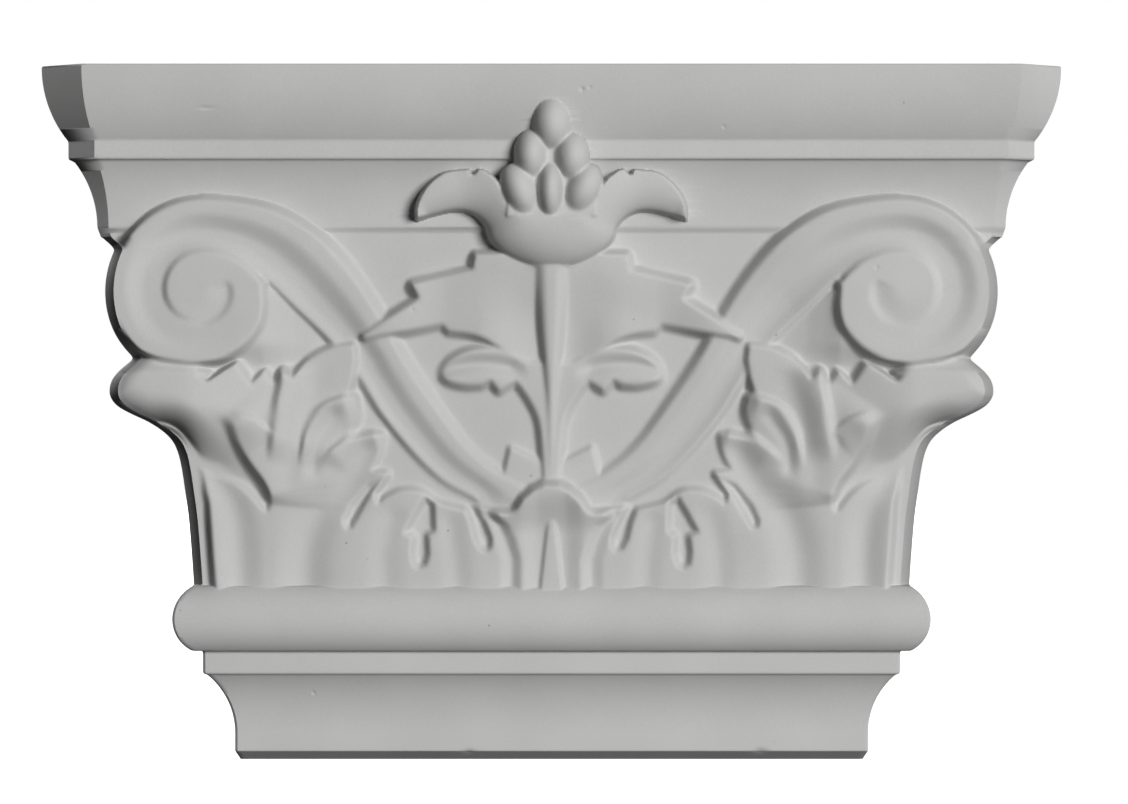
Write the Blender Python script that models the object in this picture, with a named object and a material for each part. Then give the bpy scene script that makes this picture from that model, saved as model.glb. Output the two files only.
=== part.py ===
"""A pilaster capital in the Corinthian manner, cast in plaster as one piece, that stands against a wall.

X runs across the front, -Y comes out of the wall and Z is up. The origin is the middle of the flat underside,
which sits on the shaft. The body is a sheet wrapped round the left side, the front and the right side.
Mouldings give the sheet its rows, and the carving pushes its points out of the bell.
"""

import math

import bmesh
import bpy
import numpy as np

# Base: the head of the shaft, a neck that coves out, a fillet and an astragal
SHAFT_HALF_WIDTH = 0.120
SHAFT_DEPTH = 0.060
UNDERSIDE_BEVEL_OUT = 0.0050
UNDERSIDE_BEVEL_SIDE = 0.0015
UNDERSIDE_BEVEL_HEIGHT = 0.0037
NECK_STRAIGHT = 0.0068
NECK_COVE_HEIGHT = 0.0227
NECK_COVE_OUT = 0.0100
FILLET_OUT = 0.0114
FILLET_HEIGHT = 0.0090
ASTRAGAL_OUT = 0.0222
ASTRAGAL_HEIGHT = 0.0245
ASTRAGAL_TURN = math.radians(60)
ASTRAGAL_ROWS = 17
BASE_CORNER_CUT = 0.0010

# Bell: the body behind the leaves, which widens upwards
BELL_HEIGHT = 0.1310
BELL_BASE_HALF_WIDTH = 0.1345
BELL_TOP_HALF_WIDTH = 0.1585
BELL_BASE_DEPTH = 0.0710
BELL_TOP_DEPTH = 0.0845
BELL_CORNER_CUT = 0.0033

# Abacus: soffit, cove, fillet and ovolo, with its front corners cut off
SOFFIT_HEIGHT = 0.0034
ABACUS_HALF_WIDTH = 0.1700
ABACUS_DEPTH = 0.0880
ABACUS_CORNER_CUT = 0.0046
COVE_HEIGHT = 0.0248
COVE_OUT = 0.0085
ABACUS_FILLET_OUT = 0.0104
ABACUS_FILLET_HEIGHT = 0.0078
OVOLO_OUT = 0.0200
OVOLO_HEIGHT = 0.0273

# The thin step between two arrises, the small nose of the ovolo, and how a corner cut grows as a moulding
# comes out, which is the side of a regular octagon
STEP = 0.0003
NOSE = 0.0005
CUT_GROWTH = 2.0 - math.sqrt(2.0)

# Heights that follow
NECK_TOP = UNDERSIDE_BEVEL_HEIGHT + NECK_STRAIGHT + NECK_COVE_HEIGHT
ASTRAGAL_BOTTOM = NECK_TOP + FILLET_HEIGHT
BELL_BOTTOM = ASTRAGAL_BOTTOM + ASTRAGAL_HEIGHT
BELL_TOP = BELL_BOTTOM + BELL_HEIGHT
ABACUS_BOTTOM = BELL_TOP + SOFFIT_HEIGHT
ABACUS_FILLET_BOTTOM = ABACUS_BOTTOM + COVE_HEIGHT
OVOLO_BOTTOM = ABACUS_FILLET_BOTTOM + ABACUS_FILLET_HEIGHT
HEIGHT = OVOLO_BOTTOM + OVOLO_HEIGHT

# Fineness of the wrapped sheet, and the faces left once it is thinned
PITCH = 0.0016
FACES = 11700

# The carving is drawn on a board in millimetres: across from the middle line, and up from the underside.
# These marks on the board are tied to the sizes above, so the carving stretches with them.
MM = 0.001
BOARD_BELL_BOTTOM = 66.7
BOARD_BELL_TOP = 197.7
BOARD_HEIGHT = 261.0
BOARD_BASE_HALF_WIDTH = 134.5
BOARD_TOP_HALF_WIDTH = 158.5
BOARD_BASE_DEPTH = 71.0
BOARD_TOP_DEPTH = 84.5
BOARD_ABACUS_DEPTH = 88.0


def clamp(value, low=0.0, high=1.0):
    return np.minimum(np.maximum(value, low), high)


def ease(value):
    """0 to 1 with soft ends."""
    t = clamp(value)
    return t * t * (3.0 - 2.0 * t)


def mound(value, middle, width):
    """A soft hump, 1 high at its middle."""
    return np.exp(-(((value - middle) / width) ** 2))


def draft(distance, wall):
    """Height share of a drafted wall that rises from 0 to 1 over a width, with eased arrises."""
    t = clamp(distance / wall)
    return t + 0.55 * (ease(t) - t)


def rounding(inside, radius):
    """How far a rounded edge falls below its face, by the distance inside the edge."""
    t = clamp(1.0 - inside / radius)
    return radius * (1.0 - np.sqrt(1.0 - 0.96 * t * t))


def higher(a, b, soft):
    """The larger of two heights, blended where they are within soft of each other."""
    near = np.maximum(soft - np.abs(a - b), 0.0)
    return np.maximum(a, b) + near * near / (4.0 * soft)


def bent(points, steps=6):
    """A smooth curve through hand-set points."""
    p = np.array(points, float)
    p = np.vstack([2 * p[0] - p[1], p, 2 * p[-1] - p[-2]])
    t = np.linspace(0.0, 1.0, steps, endpoint=False)[:, None]
    runs = []
    for a, b, c, d in zip(p[:-3], p[1:-2], p[2:-1], p[3:]):
        bow = (2 * a - 5 * b + 4 * c - d) * t**2 + (3 * b - a - 3 * c + d) * t**3
        runs.append(0.5 * (2 * b + (c - a) * t + bow))
    return np.vstack(runs + [p[-2:-1]])


def joined(*runs):
    """One outline from curves and straight runs, one after another."""
    return np.vstack([np.array(run, float) for run in runs])


def measured(across, up, line, closed=False):
    """Distance to a line, on its left or right (+1, -1), and the share of its length at the nearest point."""
    ends = np.roll(line, -1, axis=0) if closed else line[1:]
    starts = line if closed else line[:-1]
    lengths = np.hypot(*(ends - starts).T)
    along = np.concatenate([[0.0], np.cumsum(lengths)])
    best = np.full(across.shape, np.inf)
    turn = np.ones(across.shape)
    share = np.zeros(across.shape)
    for start, end, length, begun in zip(starts, ends, lengths, along):
        dx, dz = (end - start) / length
        px = across - start[0]
        pz = up - start[1]
        t = clamp(px * dx + pz * dz, 0.0, length)
        gap = (px - t * dx) ** 2 + (pz - t * dz) ** 2
        nearer = gap < best - 1e-9
        best = np.where(nearer, gap, best)
        turn = np.where(nearer, np.sign(dx * pz - dz * px), turn)
        share = np.where(nearer, begun + t, share)
    return np.sqrt(best), turn, share / along[-1]


def within(across, up, outline):
    """Distance inside a closed outline, negative outside it."""
    distance, _, _ = measured(across, up, outline, closed=True)
    odd = np.zeros(across.shape, bool)
    for (x0, z0), (x1, z1) in zip(outline, np.roll(outline, -1, axis=0)):
        if z0 != z1:
            crosses = (up >= min(z0, z1)) & (up < max(z0, z1))
            odd ^= crosses & (across < x0 + (up - z0) * (x1 - x0) / (z1 - z0))
    return np.where(odd, distance, -distance)


class Board:
    """The carving as heights over the bell, one form after another."""

    def __init__(self, across, up):
        self.signed = across
        self.across = np.abs(across)
        self.up = up
        rise = clamp((up - BOARD_BELL_BOTTOM) / (BOARD_BELL_TOP - BOARD_BELL_BOTTOM), 0.0, 1.2)
        self.bell = BOARD_BASE_DEPTH + (BOARD_TOP_DEPTH - BOARD_BASE_DEPTH) * rise
        self.height = np.zeros(across.shape)

    def near(self, line, margin):
        """The spots that lie within a margin of a line's own box."""
        low = line.min(axis=0) - margin
        high = line.max(axis=0) + margin
        beside = (self.across > low[0]) & (self.across < high[0])
        return beside & (self.up > low[1]) & (self.up < high[1])

    def plate(self, outline, level, wall, soft=0.4, foot=1.0):
        """A raised form with a leaning wall. Foot says how much of the wall lies outside the outline."""
        outline = np.array(outline, float)
        spot = self.near(outline, 8.0)
        across, up = self.across[spot], self.up[spot]
        inside = within(across, up, outline)
        if callable(level):
            level = level(across, up, self.bell[spot], inside)
        if callable(wall):
            wall = wall(across, up)
        self.height[spot] = higher(self.height[spot], level * draft(inside + foot * wall, wall), soft)

    def flap(self, line, height, wall, reach, ends=0.12):
        """A step on the left of a line that sinks back into the form behind it."""
        line = np.array(line, float)
        spot = self.near(line, reach * 2.5)
        distance, turn, share = measured(self.across[spot], self.up[spot], line)
        signed = distance * turn
        fade = ease(share / ends) * ease((1.0 - share) / ends)
        back = mound(np.maximum(signed, 0.0), 0.0, reach)
        self.height[spot] += height * fade * draft(signed + wall, wall) * back

    def furrow(self, line, depth, width, ends=0.2):
        """A soft groove along a line."""
        line = np.array(line, float)
        spot = self.near(line, width * 2.0)
        distance, _, share = measured(self.across[spot], self.up[spot], line)
        fade = ease(share / ends) * ease((1.0 - share) / ends) if ends else 1.0
        self.height[spot] -= depth * fade * mound(distance, 0.0, width)

    def dent(self, outline, depth, wall):
        """A sunk opening whose walls lean in from its outline."""
        outline = np.array(outline, float)
        spot = self.near(outline, 1.0)
        across, up = self.across[spot], self.up[spot]
        inside = within(across, up, outline)
        if callable(depth):
            depth = depth(across, up)
        self.height[spot] -= depth * draft(inside, wall)


# The scroll's middle, across and up, and the depth of its face
SCROLL = (130.7, 177.2, 96.0)
STEM_UPPER = bent(
    [(141.0, 209.2), (131.0, 210.8), (116.0, 209.5), (101.0, 205.5), (86.5, 196.0), (74.5, 182.5),
     (64.5, 167.0), (56.0, 151.5), (45.0, 135.0), (34.0, 120.0), (23.0, 110.0), (10.0, 103.0)], 5
)
STEM_LOWER = bent(
    [(136.0, 191.0), (131.0, 191.8), (125.4, 191.6), (119.2, 189.6), (112.2, 185.0), (107.2, 180.8),
     (97.3, 171.2), (83.5, 158.2), (74.0, 146.5), (64.0, 130.5), (52.5, 116.5), (41.5, 106.0),
     (30.0, 99.5)], 5
)
CHANNEL_DEPTH = 3.6
# The coil: radius of the eye's edge by degrees back from the tip, where the stem runs into it
COIL_TIP = 27.0
COIL = ([0, 27, 117, 207, 297, 318, 338, 364, 380], [9.2, 10.6, 11.3, 13.0, 14.6, 15.5, 16.8, 20.1, 23.6])
COIL_LAP = 0.8
COIL_STEP = 2.6


def channel(share):
    """Depth share of the channel at a share of a band's width, from its outer roll to its inner roll."""
    return ease((share - 0.20) / 0.40) * (1.0 - 0.5 * (1.0 - ease((1.0 - share) / 0.30)))


def coiled(across, up):
    """Radius and angle from the middle of the scroll, degrees back from the tip, edge of the eye and coil."""
    x, z = SCROLL[0] - across, up - SCROLL[1]
    radius, angle = np.hypot(x, z), np.degrees(np.arctan2(z, x))
    turned = (COIL_TIP - angle) % 360.0
    eye_edge = np.interp(turned, *COIL)
    coil = np.where(turned < 18.0, np.interp(turned + 360.0, *COIL), eye_edge)
    return radius, angle, turned, eye_edge, coil


def stem(board):
    """The S-stem: an outer roll, a channel and an inner roll between two leaning walls."""
    upper_wall, lower_wall = 4.4, 3.0
    spot = board.near(np.vstack([STEM_UPPER, STEM_LOWER]), 6.0) & (board.across < SCROLL[0])
    across, up = board.across[spot], board.up[spot]
    far, turn, _ = measured(across, up, STEM_UPPER)
    below = far * turn
    far, turn, share = measured(across, up, STEM_LOWER)
    above = -far * turn
    crest = SCROLL[2] - board.bell[spot]
    crest = crest + (6.0 - crest) * ease((share - 0.10) / 0.34) - 1.6 * ease((share - 0.4) / 0.6)
    sunk = np.minimum(CHANNEL_DEPTH, 0.42 * crest) * channel(clamp(below / np.maximum(below + above, 2.0)))
    radius, angle, _, _, coil = coiled(across, up)
    into_eye = (1.0 - ease((radius - coil - 1.0) / 4.0)) * ease((angle - 9.0) / 14.0)
    lower = draft(above + 0.6 * lower_wall, lower_wall)
    lower = lower + (1.0 - lower) * into_eye
    sunk = sunk * draft(radius - coil + COIL_LAP, COIL_STEP)
    raised = (crest - sunk) * np.minimum(draft(below + upper_wall, upper_wall), lower)
    board.height[spot] = higher(board.height[spot], raised, 0.4)


RIM = (
    [-90, -30, 0, 10, 90, 180, 208, 224, 235, 250, 270],
    [26.4, 25.2, 23.2, 23.6, 33.6, 32.4, 31.4, 30.8, 29.3, 27.6, 26.4],
)
RIM_WALL = ([-90, -50, 20, 90, 150, 270], [3.8, 5.0, 5.0, 4.4, 3.2, 3.8])
CHANNEL_STRENGTH = ([0, 18, 60, 130, 207, 297, 330, 360], [0.35, 0.0, 0.0, 0.25, 1.0, 1.0, 0.6, 0.35])
EYE_DIP = ([0, 22, 95, 150], [0.0, 1.9, 1.9, 0.0])


def scroll(board):
    """The scroll: a rim, a channel that follows the coil, and an eye that the coil runs into."""
    spot = np.hypot(SCROLL[0] - board.across, board.up - SCROLL[1]) < 42.0
    radius, angle, turned, eye_edge, coil = coiled(board.across[spot], board.up[spot])
    round_angle = (angle + 90.0) % 360.0 - 90.0
    rim, wall = np.interp(round_angle, *RIM), np.interp(round_angle, *RIM_WALL)
    band = clamp((rim - radius) / np.maximum(rim - coil, 1.0))
    outside = CHANNEL_DEPTH * np.interp(turned, *CHANNEL_STRENGTH) * channel(band)
    face = SCROLL[2] - board.bell[spot]
    dip = np.interp(turned, *EYE_DIP) * draft(eye_edge - radius, 1.8) * ease(radius / 9.0)
    disc = face - outside * draft(radius - coil + COIL_LAP, COIL_STEP) - dip
    raised = disc * draft(rim - radius + wall, wall)
    open_side = (angle > 10.0) & (angle < 90.0) & (radius > coil)
    raised = np.where(open_side, face * draft(coil - radius + 1.6, 1.6), raised)
    board.height[spot] = higher(board.height[spot], raised, 0.3)


LEAF_LEVEL = 5.4
LEAF_BODY = joined(
    bent([(126.3, 60.0), (126.6, 67.5), (128.0, 88.0), (129.6, 106.0)], 3),
    bent([(132.0, 112.0), (136.0, 120.5), (141.5, 127.5), (149.5, 132.0), (160.5, 136.0)]),
    bent([(172.0, 139.5), (172.0, 145.0), (160.0, 149.5), (152.0, 150.3), (138.0, 149.5), (128.0, 146.5)]),
    [(133.3, 148.4), (128.4, 143.5), (117.2, 150.2), (112.3, 142.0), (107.1, 147.2), (104.4, 142.5)],
    [(102.0, 143.5), (100.7, 147.9), (96.8, 143.5)],
    bent([(95.5, 145.5), (92.5, 149.8), (87.6, 153.5), (81.2, 156.0), (74.0, 157.0)]),
    bent([(73.6, 151.0), (74.8, 144.5), (76.6, 139.0)], 3),
    bent([(74.0, 137.5), (73.2, 131.5), (75.6, 124.5), (78.5, 120.5)], 3),
    bent([(63.8, 123.4), (64.2, 118.5), (66.6, 113.0), (69.0, 109.8)], 3),
    [(62.0, 108.8), (64.5, 105.2), (67.3, 101.5), (65.5, 96.5)],
    bent([(62.2, 99.4), (56.8, 101.9), (51.2, 102.2), (47.8, 101.0), (44.5, 98.6)], 3),
    bent([(41.5, 97.0), (35.0, 95.4), (31.7, 94.8), (28.0, 95.6), (21.0, 94.6), (15.0, 91.5)], 3),
    [(13.0, 89.0), (-6.0, 88.0), (-6.0, 60.0)],
)
CURL_MARGIN = bent(
    [(176.0, 141.0), (160.5, 136.0), (149.5, 132.0), (141.5, 127.5), (136.0, 120.5), (132.0, 112.0),
     (129.6, 106.0)]
)
# The tail of the rolled tip runs down between the panel on its outside and the main leaf on its inside
TAIL_INNER = [(104.8, 96.8), (104.8, 101.0), (107.4, 106.7), (111.9, 113.0), (115.7, 119.8), (118.7, 128.4),
              (122.1, 134.0)]
TAIL = joined(
    [(150.0, 112.0)],
    bent([(132.2, 110.4), (127.3, 107.8), (122.4, 106.3), (116.8, 103.3), (112.3, 99.2), (108.6, 95.0)]),
    [(106.6, 93.6)],
    bent(TAIL_INNER),
    [(150.0, 140.0)],
)
# Outline of the rolled tip from the front, as heights and half widths
CURL_SIDE = bent(
    [(60.0, 134.3), (88.0, 135.7), (107.0, 137.1), (116.0, 138.6), (121.5, 141.0), (127.0, 146.5),
     (131.0, 154.0), (133.6, 161.6), (136.5, 164.6), (141.0, 165.2), (145.0, 163.6), (149.5, 159.0),
     (155.0, 152.0)]
)
OPENINGS = (
    [(47.8, 101.4), (43.3, 98.4), (42.9, 86.8), (45.6, 85.3), (45.2, 78.5), (46.7, 74.0), (49.7, 72.5),
     (52.7, 74.4), (53.4, 79.6), (52.7, 84.9), (56.4, 86.4), (52.3, 93.9)],
    [(31.7, 99.2), (27.2, 96.9), (24.2, 91.7), (21.6, 84.9), (21.9, 80.8), (24.2, 78.9), (27.2, 80.0),
     (29.4, 83.8), (30.9, 90.2), (32.8, 95.4)],
    [(61.7, 108.9), (69.6, 105.2), (75.9, 97.7), (78.9, 91.3), (77.8, 87.9), (74.8, 87.9), (71.1, 94.3),
     (67.3, 101.0), (64.3, 105.2)],
)


def corner_leaf(board):
    """The acanthus at the corner, with its rolled tip, its lobes and the openings between them."""

    def level(across, up, bell, inside):
        out = ease((up - 112.0) / 24.0) * ease((across - 92.0) / 46.0)
        rolled = SCROLL[2] - 0.5 - bell
        face = LEAF_LEVEL + (rolled - LEAF_LEVEL) * out + 2.2 * ease((up - 118.0) / 34.0) * (1.0 - out)
        distance, _, _ = measured(across, up, CURL_MARGIN)
        distance = np.minimum(distance, 1.0 + np.maximum(np.interp(up, *CURL_SIDE.T) - across, 0.0))
        drop = rounding(distance, 14.0) * ease((up - 104.0) / 14.0)
        top = ease((up - 146.5) / 5.0) * ease((across - 118.0) / 10.0)
        return np.maximum(face - drop - 3.0 * top, 1.5)

    board.plate(LEAF_BODY, level, 3.4)
    board.dent(TAIL, lambda across, up: 2.4 * (1.0 - ease((up - 104.0) / 20.0)), 3.2)
    for line, depth, width in (
        ([(117.6, 60.0), (117.6, 80.0), (119.5, 95.0), (126.2, 107.4)], 2.8, 6.0),
        ([(92.8, 60.0), (92.0, 80.0), (87.0, 95.0), (77.4, 104.0), (69.9, 117.9)], 2.4, 7.0),
        ([(62.0, 60.0), (63.0, 78.0), (60.0, 92.0)], 1.2, 5.0),
        ([(35.0, 60.0), (36.0, 76.0), (38.0, 90.0)], 1.2, 4.5),
    ):
        board.furrow(bent(line), depth, width, ends=0.0)
    for line, depth, width in (
        ([(99.0, 96.0), (98.0, 112.0), (91.0, 138.0), (82.0, 150.0)], 1.2, 5.0),
        ([(90.5, 104.0), (88.0, 120.0), (82.0, 130.0), (76.0, 135.5)], 1.4, 3.5),
    ):
        board.furrow(bent(line), depth, width)
    for line, height, wall, reach in (
        ([(95.8, 114.0), (93.6, 123.2), (89.8, 130.0), (83.8, 136.0), (73.0, 140.0)], 2.4, 3.0, 8.0),
        ([(85.5, 114.0), (79.3, 121.2), (73.3, 125.0), (63.5, 126.2)], 2.4, 3.0, 7.0),
        ([(104.0, 120.0), (102.2, 132.0), (100.2, 141.0), (100.7, 150.0)], 2.2, 3.0, 9.0),
        (TAIL_INNER, 2.6, 3.0, 12.0),
    ):
        board.flap(bent(line), height, wall, reach)
    for opening in OPENINGS:
        board.dent(opening, 4.4, 3.2)


CALYX_ARCH = [
    (13.2, 93.5), (10.2, 98.6), (6.2, 102.2), (2.6, 104.2), (-6.0, 104.2), (-6.0, 60.0), (8.0, 60.0),
]
CALYX_RIB = [(0.6, 94.5), (-6.0, 94.5), (-6.0, 60.0), (4.6, 60.0)]
CALYX_SIDE = ([66.0, 76.6, 84.2, 89.8, 92.8, 97.0], [15.2, 15.0, 17.4, 20.0, 23.8, 25.0])
CALYX_VALLEY = 3.8
CALYX_WALL = 3.6


def calyx(board):
    """The arched calyx, with a wall round its arch, soft sides and a wedge rib."""

    def fold(across, up):
        return 4.4 + 2.1 * ease((across - 4.0) / 9.0) + 1.6 * ease((up - 88.0) / 16.0)

    board.plate(CALYX_ARCH, lambda across, up, bell, inside: fold(across, up), 3.4)
    out = board.across - np.interp(board.up, *CALYX_SIDE)
    top = np.where(out < 0.0, fold(board.across, board.up), board.height)
    grown = CALYX_VALLEY + (top - CALYX_VALLEY) * draft(np.abs(out), CALYX_WALL)
    board.height += (grown - board.height) * (out < CALYX_WALL) * ease((97.0 - board.up) / 4.0)
    board.plate(CALYX_RIB, 6.8, 2.4)


CENTRE_LEAF = joined(
    [(69.9, 160.2), (63.6, 165.0), (48.6, 174.2), (51.4, 179.4), (40.0, 182.2), (29.1, 184.7), (27.9, 190.3)],
    [(11.8, 190.8), (-4.0, 190.8), (-4.0, 130.0), (5.0, 140.0), (11.0, 149.0)],
    bent([(17.0, 155.4), (20.4, 157.4), (24.9, 160.0), (30.6, 161.9), (38.2, 162.9)], 4),
    [(40.7, 165.6), (54.0, 163.0)],
)
LEAFLET = joined(
    bent([(17.0, 154.6), (24.0, 155.2), (30.6, 154.4), (36.6, 151.4), (40.2, 147.2), (38.6, 144.4),
          (32.4, 142.8), (26.5, 143.0)]),
    [(22.8, 145.0), (19.4, 141.0)],
    bent([(13.4, 143.0), (8.4, 138.0), (4.4, 130.0), (3.0, 120.0), (2.2, 106.0)], 4),
    [(-4.0, 106.0), (-4.0, 150.0), (8.0, 150.0)],
)
LEAFLET_BOW = 0.012
STALK_HALF = ([100.0, 139.0, 160.0, 187.0, 200.0], [2.2, 3.2, 4.8, 7.0, 8.0])
STALK_CREST = ([100.0, 120.0, 187.0], [7.4, 8.0, 12.0])
BUD_TIP = [(15.2, 118.4), (3.9, 113.0), (-4.0, 110.6), (-4.0, 100.0), (18.9, 100.0), (17.8, 107.4)]


def stalk_and_leaves(board):
    """Stalk, the two serrated leaves beside it, their curled leaflets and the small pointed tips."""
    board.plate(BUD_TIP, 4.8, 2.2)

    def beside_stalk(across, up):
        return 3.6 * ease((18.0 - across) / 13.0) * ease((184.0 - up) / 30.0)

    def leaflet(across, up, bell, inside):
        arched = LEAFLET_BOW * (across - 26.0) ** 2
        band = mound(up + arched, 150.2, 2.8) * ease((across - 8.0) / 8.0)
        return 7.2 - 2.6 * band - 0.7 * beside_stalk(across, up)

    def leaf(across, up, bell, inside):
        vein = mound(up - 0.36 * (40.0 - across), 165.0, 9.0) * ease((across - 6.0) / 16.0)
        face = 5.2 + 3.2 * clamp((64.3 - across) / 45.0)
        return face - 1.0 * vein * ease((66.0 - across) / 26.0) - beside_stalk(across, up)

    board.plate(LEAFLET, leaflet, 4.2)
    board.plate(CENTRE_LEAF, leaf, 4.0)
    board.furrow(bent([(29.5, 186.5), (23.1, 178.5), (15.6, 174.2)]), 0.7, 1.5)
    half = np.interp(board.up, *STALK_HALF)
    crest = np.interp(board.up, *STALK_CREST)
    round_side = clamp((board.across - 0.2 * half) / (0.8 * half + 1.4))
    bar = crest * np.sqrt(1.0 - round_side**2) * ease((board.up - 96.0) / 8.0) * (board.up < 200.0)
    board.height = higher(board.height, bar, 0.8)


PETAL_EDGE = bent(
    [(-6.5, 185.7), (0.0, 185.4), (6.5, 186.0), (13.5, 188.4), (19.6, 192.0), (23.4, 196.4),
     (25.2, 201.2), (28.8, 204.8), (33.2, 206.4), (38.5, 206.2), (45.0, 204.6)]
)
PETALS = joined(
    bent([(51.0, 202.6), (51.3, 208.0), (49.2, 213.8), (44.8, 218.8), (39.0, 222.3), (30.0, 223.2)]),
    [(29.2, 219.8), (27.4, 223.4)],
    bent([(24.5, 222.8), (19.0, 218.0), (15.0, 208.0)], 4),
    [(11.0, 205.8), (-12.0, 205.8), (-12.0, 185.6)],
    PETAL_EDGE,
)
# Each berry: across, up, half width, half height, lean in degrees and depth of its crown from the wall
BERRIES = (
    (0.0, 239.8, 8.0, 10.8, 0, 112.0),
    (-7.7, 228.0, 6.6, 9.6, 0, 110.0),
    (7.6, 227.0, 7.0, 9.4, 0, 110.0),
    (-11.8, 215.0, 6.8, 10.4, -22, 109.0),
    (11.8, 215.4, 6.8, 10.0, 26, 109.0),
    (-0.4, 214.8, 5.4, 10.8, 0, 110.4),
)
BERRY_ROOT = 97.0
BERRY_CORE = ([(-4.0, 203.0), (15.0, 203.0), (14.0, 216.0), (9.0, 229.0), (3.5, 238.0), (-4.0, 240.0)], 103.0)


def berry(board, across, up, half_width, half_height, lean, top):
    """A berry that leans by some degrees. Its skin rises to a depth measured from the wall."""
    turn = math.radians(lean)
    x = (board.signed - across) * math.cos(turn) - (board.up - up) * math.sin(turn)
    z = (board.signed - across) * math.sin(turn) + (board.up - up) * math.cos(turn)
    out = (x / half_width) ** 2 + (z / half_height) ** 2
    skin = BERRY_ROOT + (top - BERRY_ROOT) * np.sqrt(clamp(1.0 - out))
    board.height = higher(board.height, np.where(out < 1.0, skin - board.bell, 0.0), 1.4)


def flower(board):
    """Two curled petals, the cup and a cluster of berries, which stand over the abacus."""

    def petals(across, up, bell, inside):
        cup = ease((36.0 - across) / 26.0)
        crown = 99.0 + 5.0 * cup
        edge = 91.0 - 3.5 * cup
        below, _, _ = measured(across, up, PETAL_EDGE)
        turned = clamp(1.0 - below / (11.0 + 7.0 * cup))
        rolled = (crown - edge) * (1.0 - np.sqrt(1.0 - turned**2))
        return crown - rolled - 0.7 * rounding(inside, 2.4) - bell

    def petal_wall(across, up):
        return 1.4 + 2.2 * ease((across - 44.0) / 5.0)

    core, core_depth = BERRY_CORE
    board.plate(core, lambda across, up, bell, inside: core_depth - bell, 4.0, foot=0.5)
    for each in BERRIES:
        berry(board, *each)
    board.plate(PETALS, petals, petal_wall, foot=0.1)


def carving(across, up):
    """Heights over the bell of everything that is carved there, and the bell's own depth."""
    board = Board(across, up)
    stem(board)
    scroll(board)
    corner_leaf(board)
    calyx(board)
    stalk_and_leaves(board)
    flower(board)
    return board.height, board.bell


# The side of the casting: the radius of the drum behind the scroll, and the waist its side is drawn in by
SCROLL_SIDE_RADIUS = 36.3
SCROLL_WAIST = 5.0
WAIST_START = 0.12
# Where the corner leaf is folded round the corner, on the front and on the side, and where the drum begins
FOLD_ACROSS = 168.0
FOLD_DEPTH = 99.6
DRUM_BOTTOM = 152.0
DRUM_BLEND = 4.0
# The roll of the leaf on the side: how far it comes out, where it begins and over what height, and the
# width over which the side's hollows fade out at the corner
SIDE_ROLL = 10.0
SIDE_ROLL_BOTTOM = 114.0
SIDE_ROLL_HEIGHT = 20.0
SIDE_EDGE = 8.0
# Where the leaves grow out of the astragal, the least height that counts as carving, and the blend where
# carving meets the plain mouldings
LEAF_FOOT = 60.5
LEAST_RELIEF = 0.02
MEETING = 0.5


def on_board(z):
    """Board height of a real height, what a board millimetre measures across there, and how far the carving
    is shifted out with the bell and the abacus."""
    marks = [0.0, BOARD_BELL_BOTTOM, BOARD_BELL_TOP, BOARD_HEIGHT]
    up = np.interp(z, [0.0, BELL_BOTTOM, BELL_TOP, HEIGHT], marks)
    base_scale = BELL_BASE_HALF_WIDTH / (BOARD_BASE_HALF_WIDTH * MM)
    top_scale = BELL_TOP_HALF_WIDTH / (BOARD_TOP_HALF_WIDTH * MM)
    scale = np.interp(z, [BELL_BOTTOM, BELL_TOP], [base_scale, top_scale])
    shift = np.interp(
        z,
        [BELL_BOTTOM, BELL_TOP, ABACUS_FILLET_BOTTOM],
        [BELL_BASE_DEPTH - BOARD_BASE_DEPTH * MM, BELL_TOP_DEPTH - BOARD_TOP_DEPTH * MM,
         ABACUS_DEPTH - BOARD_ABACUS_DEPTH * MM],
    )
    return up, scale, shift


def bell_side(up):
    """Half width on the board of the rolled leaf tip and of the drum behind the scroll."""
    curl = np.interp(up, CURL_SIDE[:, 0], CURL_SIDE[:, 1], right=0.0)
    reach = np.maximum(SCROLL_SIDE_RADIUS**2 - (up - SCROLL[1]) ** 2, 0.0)
    drum = np.where(reach > 0.0, SCROLL[0] + np.sqrt(reach), 0.0)
    return higher(curl, drum, 1.0)


def hollow(height, out, count):
    """Heights and reaches of an arc that starts upright and leans out."""
    end = 2.0 * math.atan2(out, height)
    radius = height / math.sin(end)
    turns = [end * i / (count - 1) for i in range(count)]
    return [(radius * math.sin(turn), radius * (1.0 - math.cos(turn))) for turn in turns]


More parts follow.
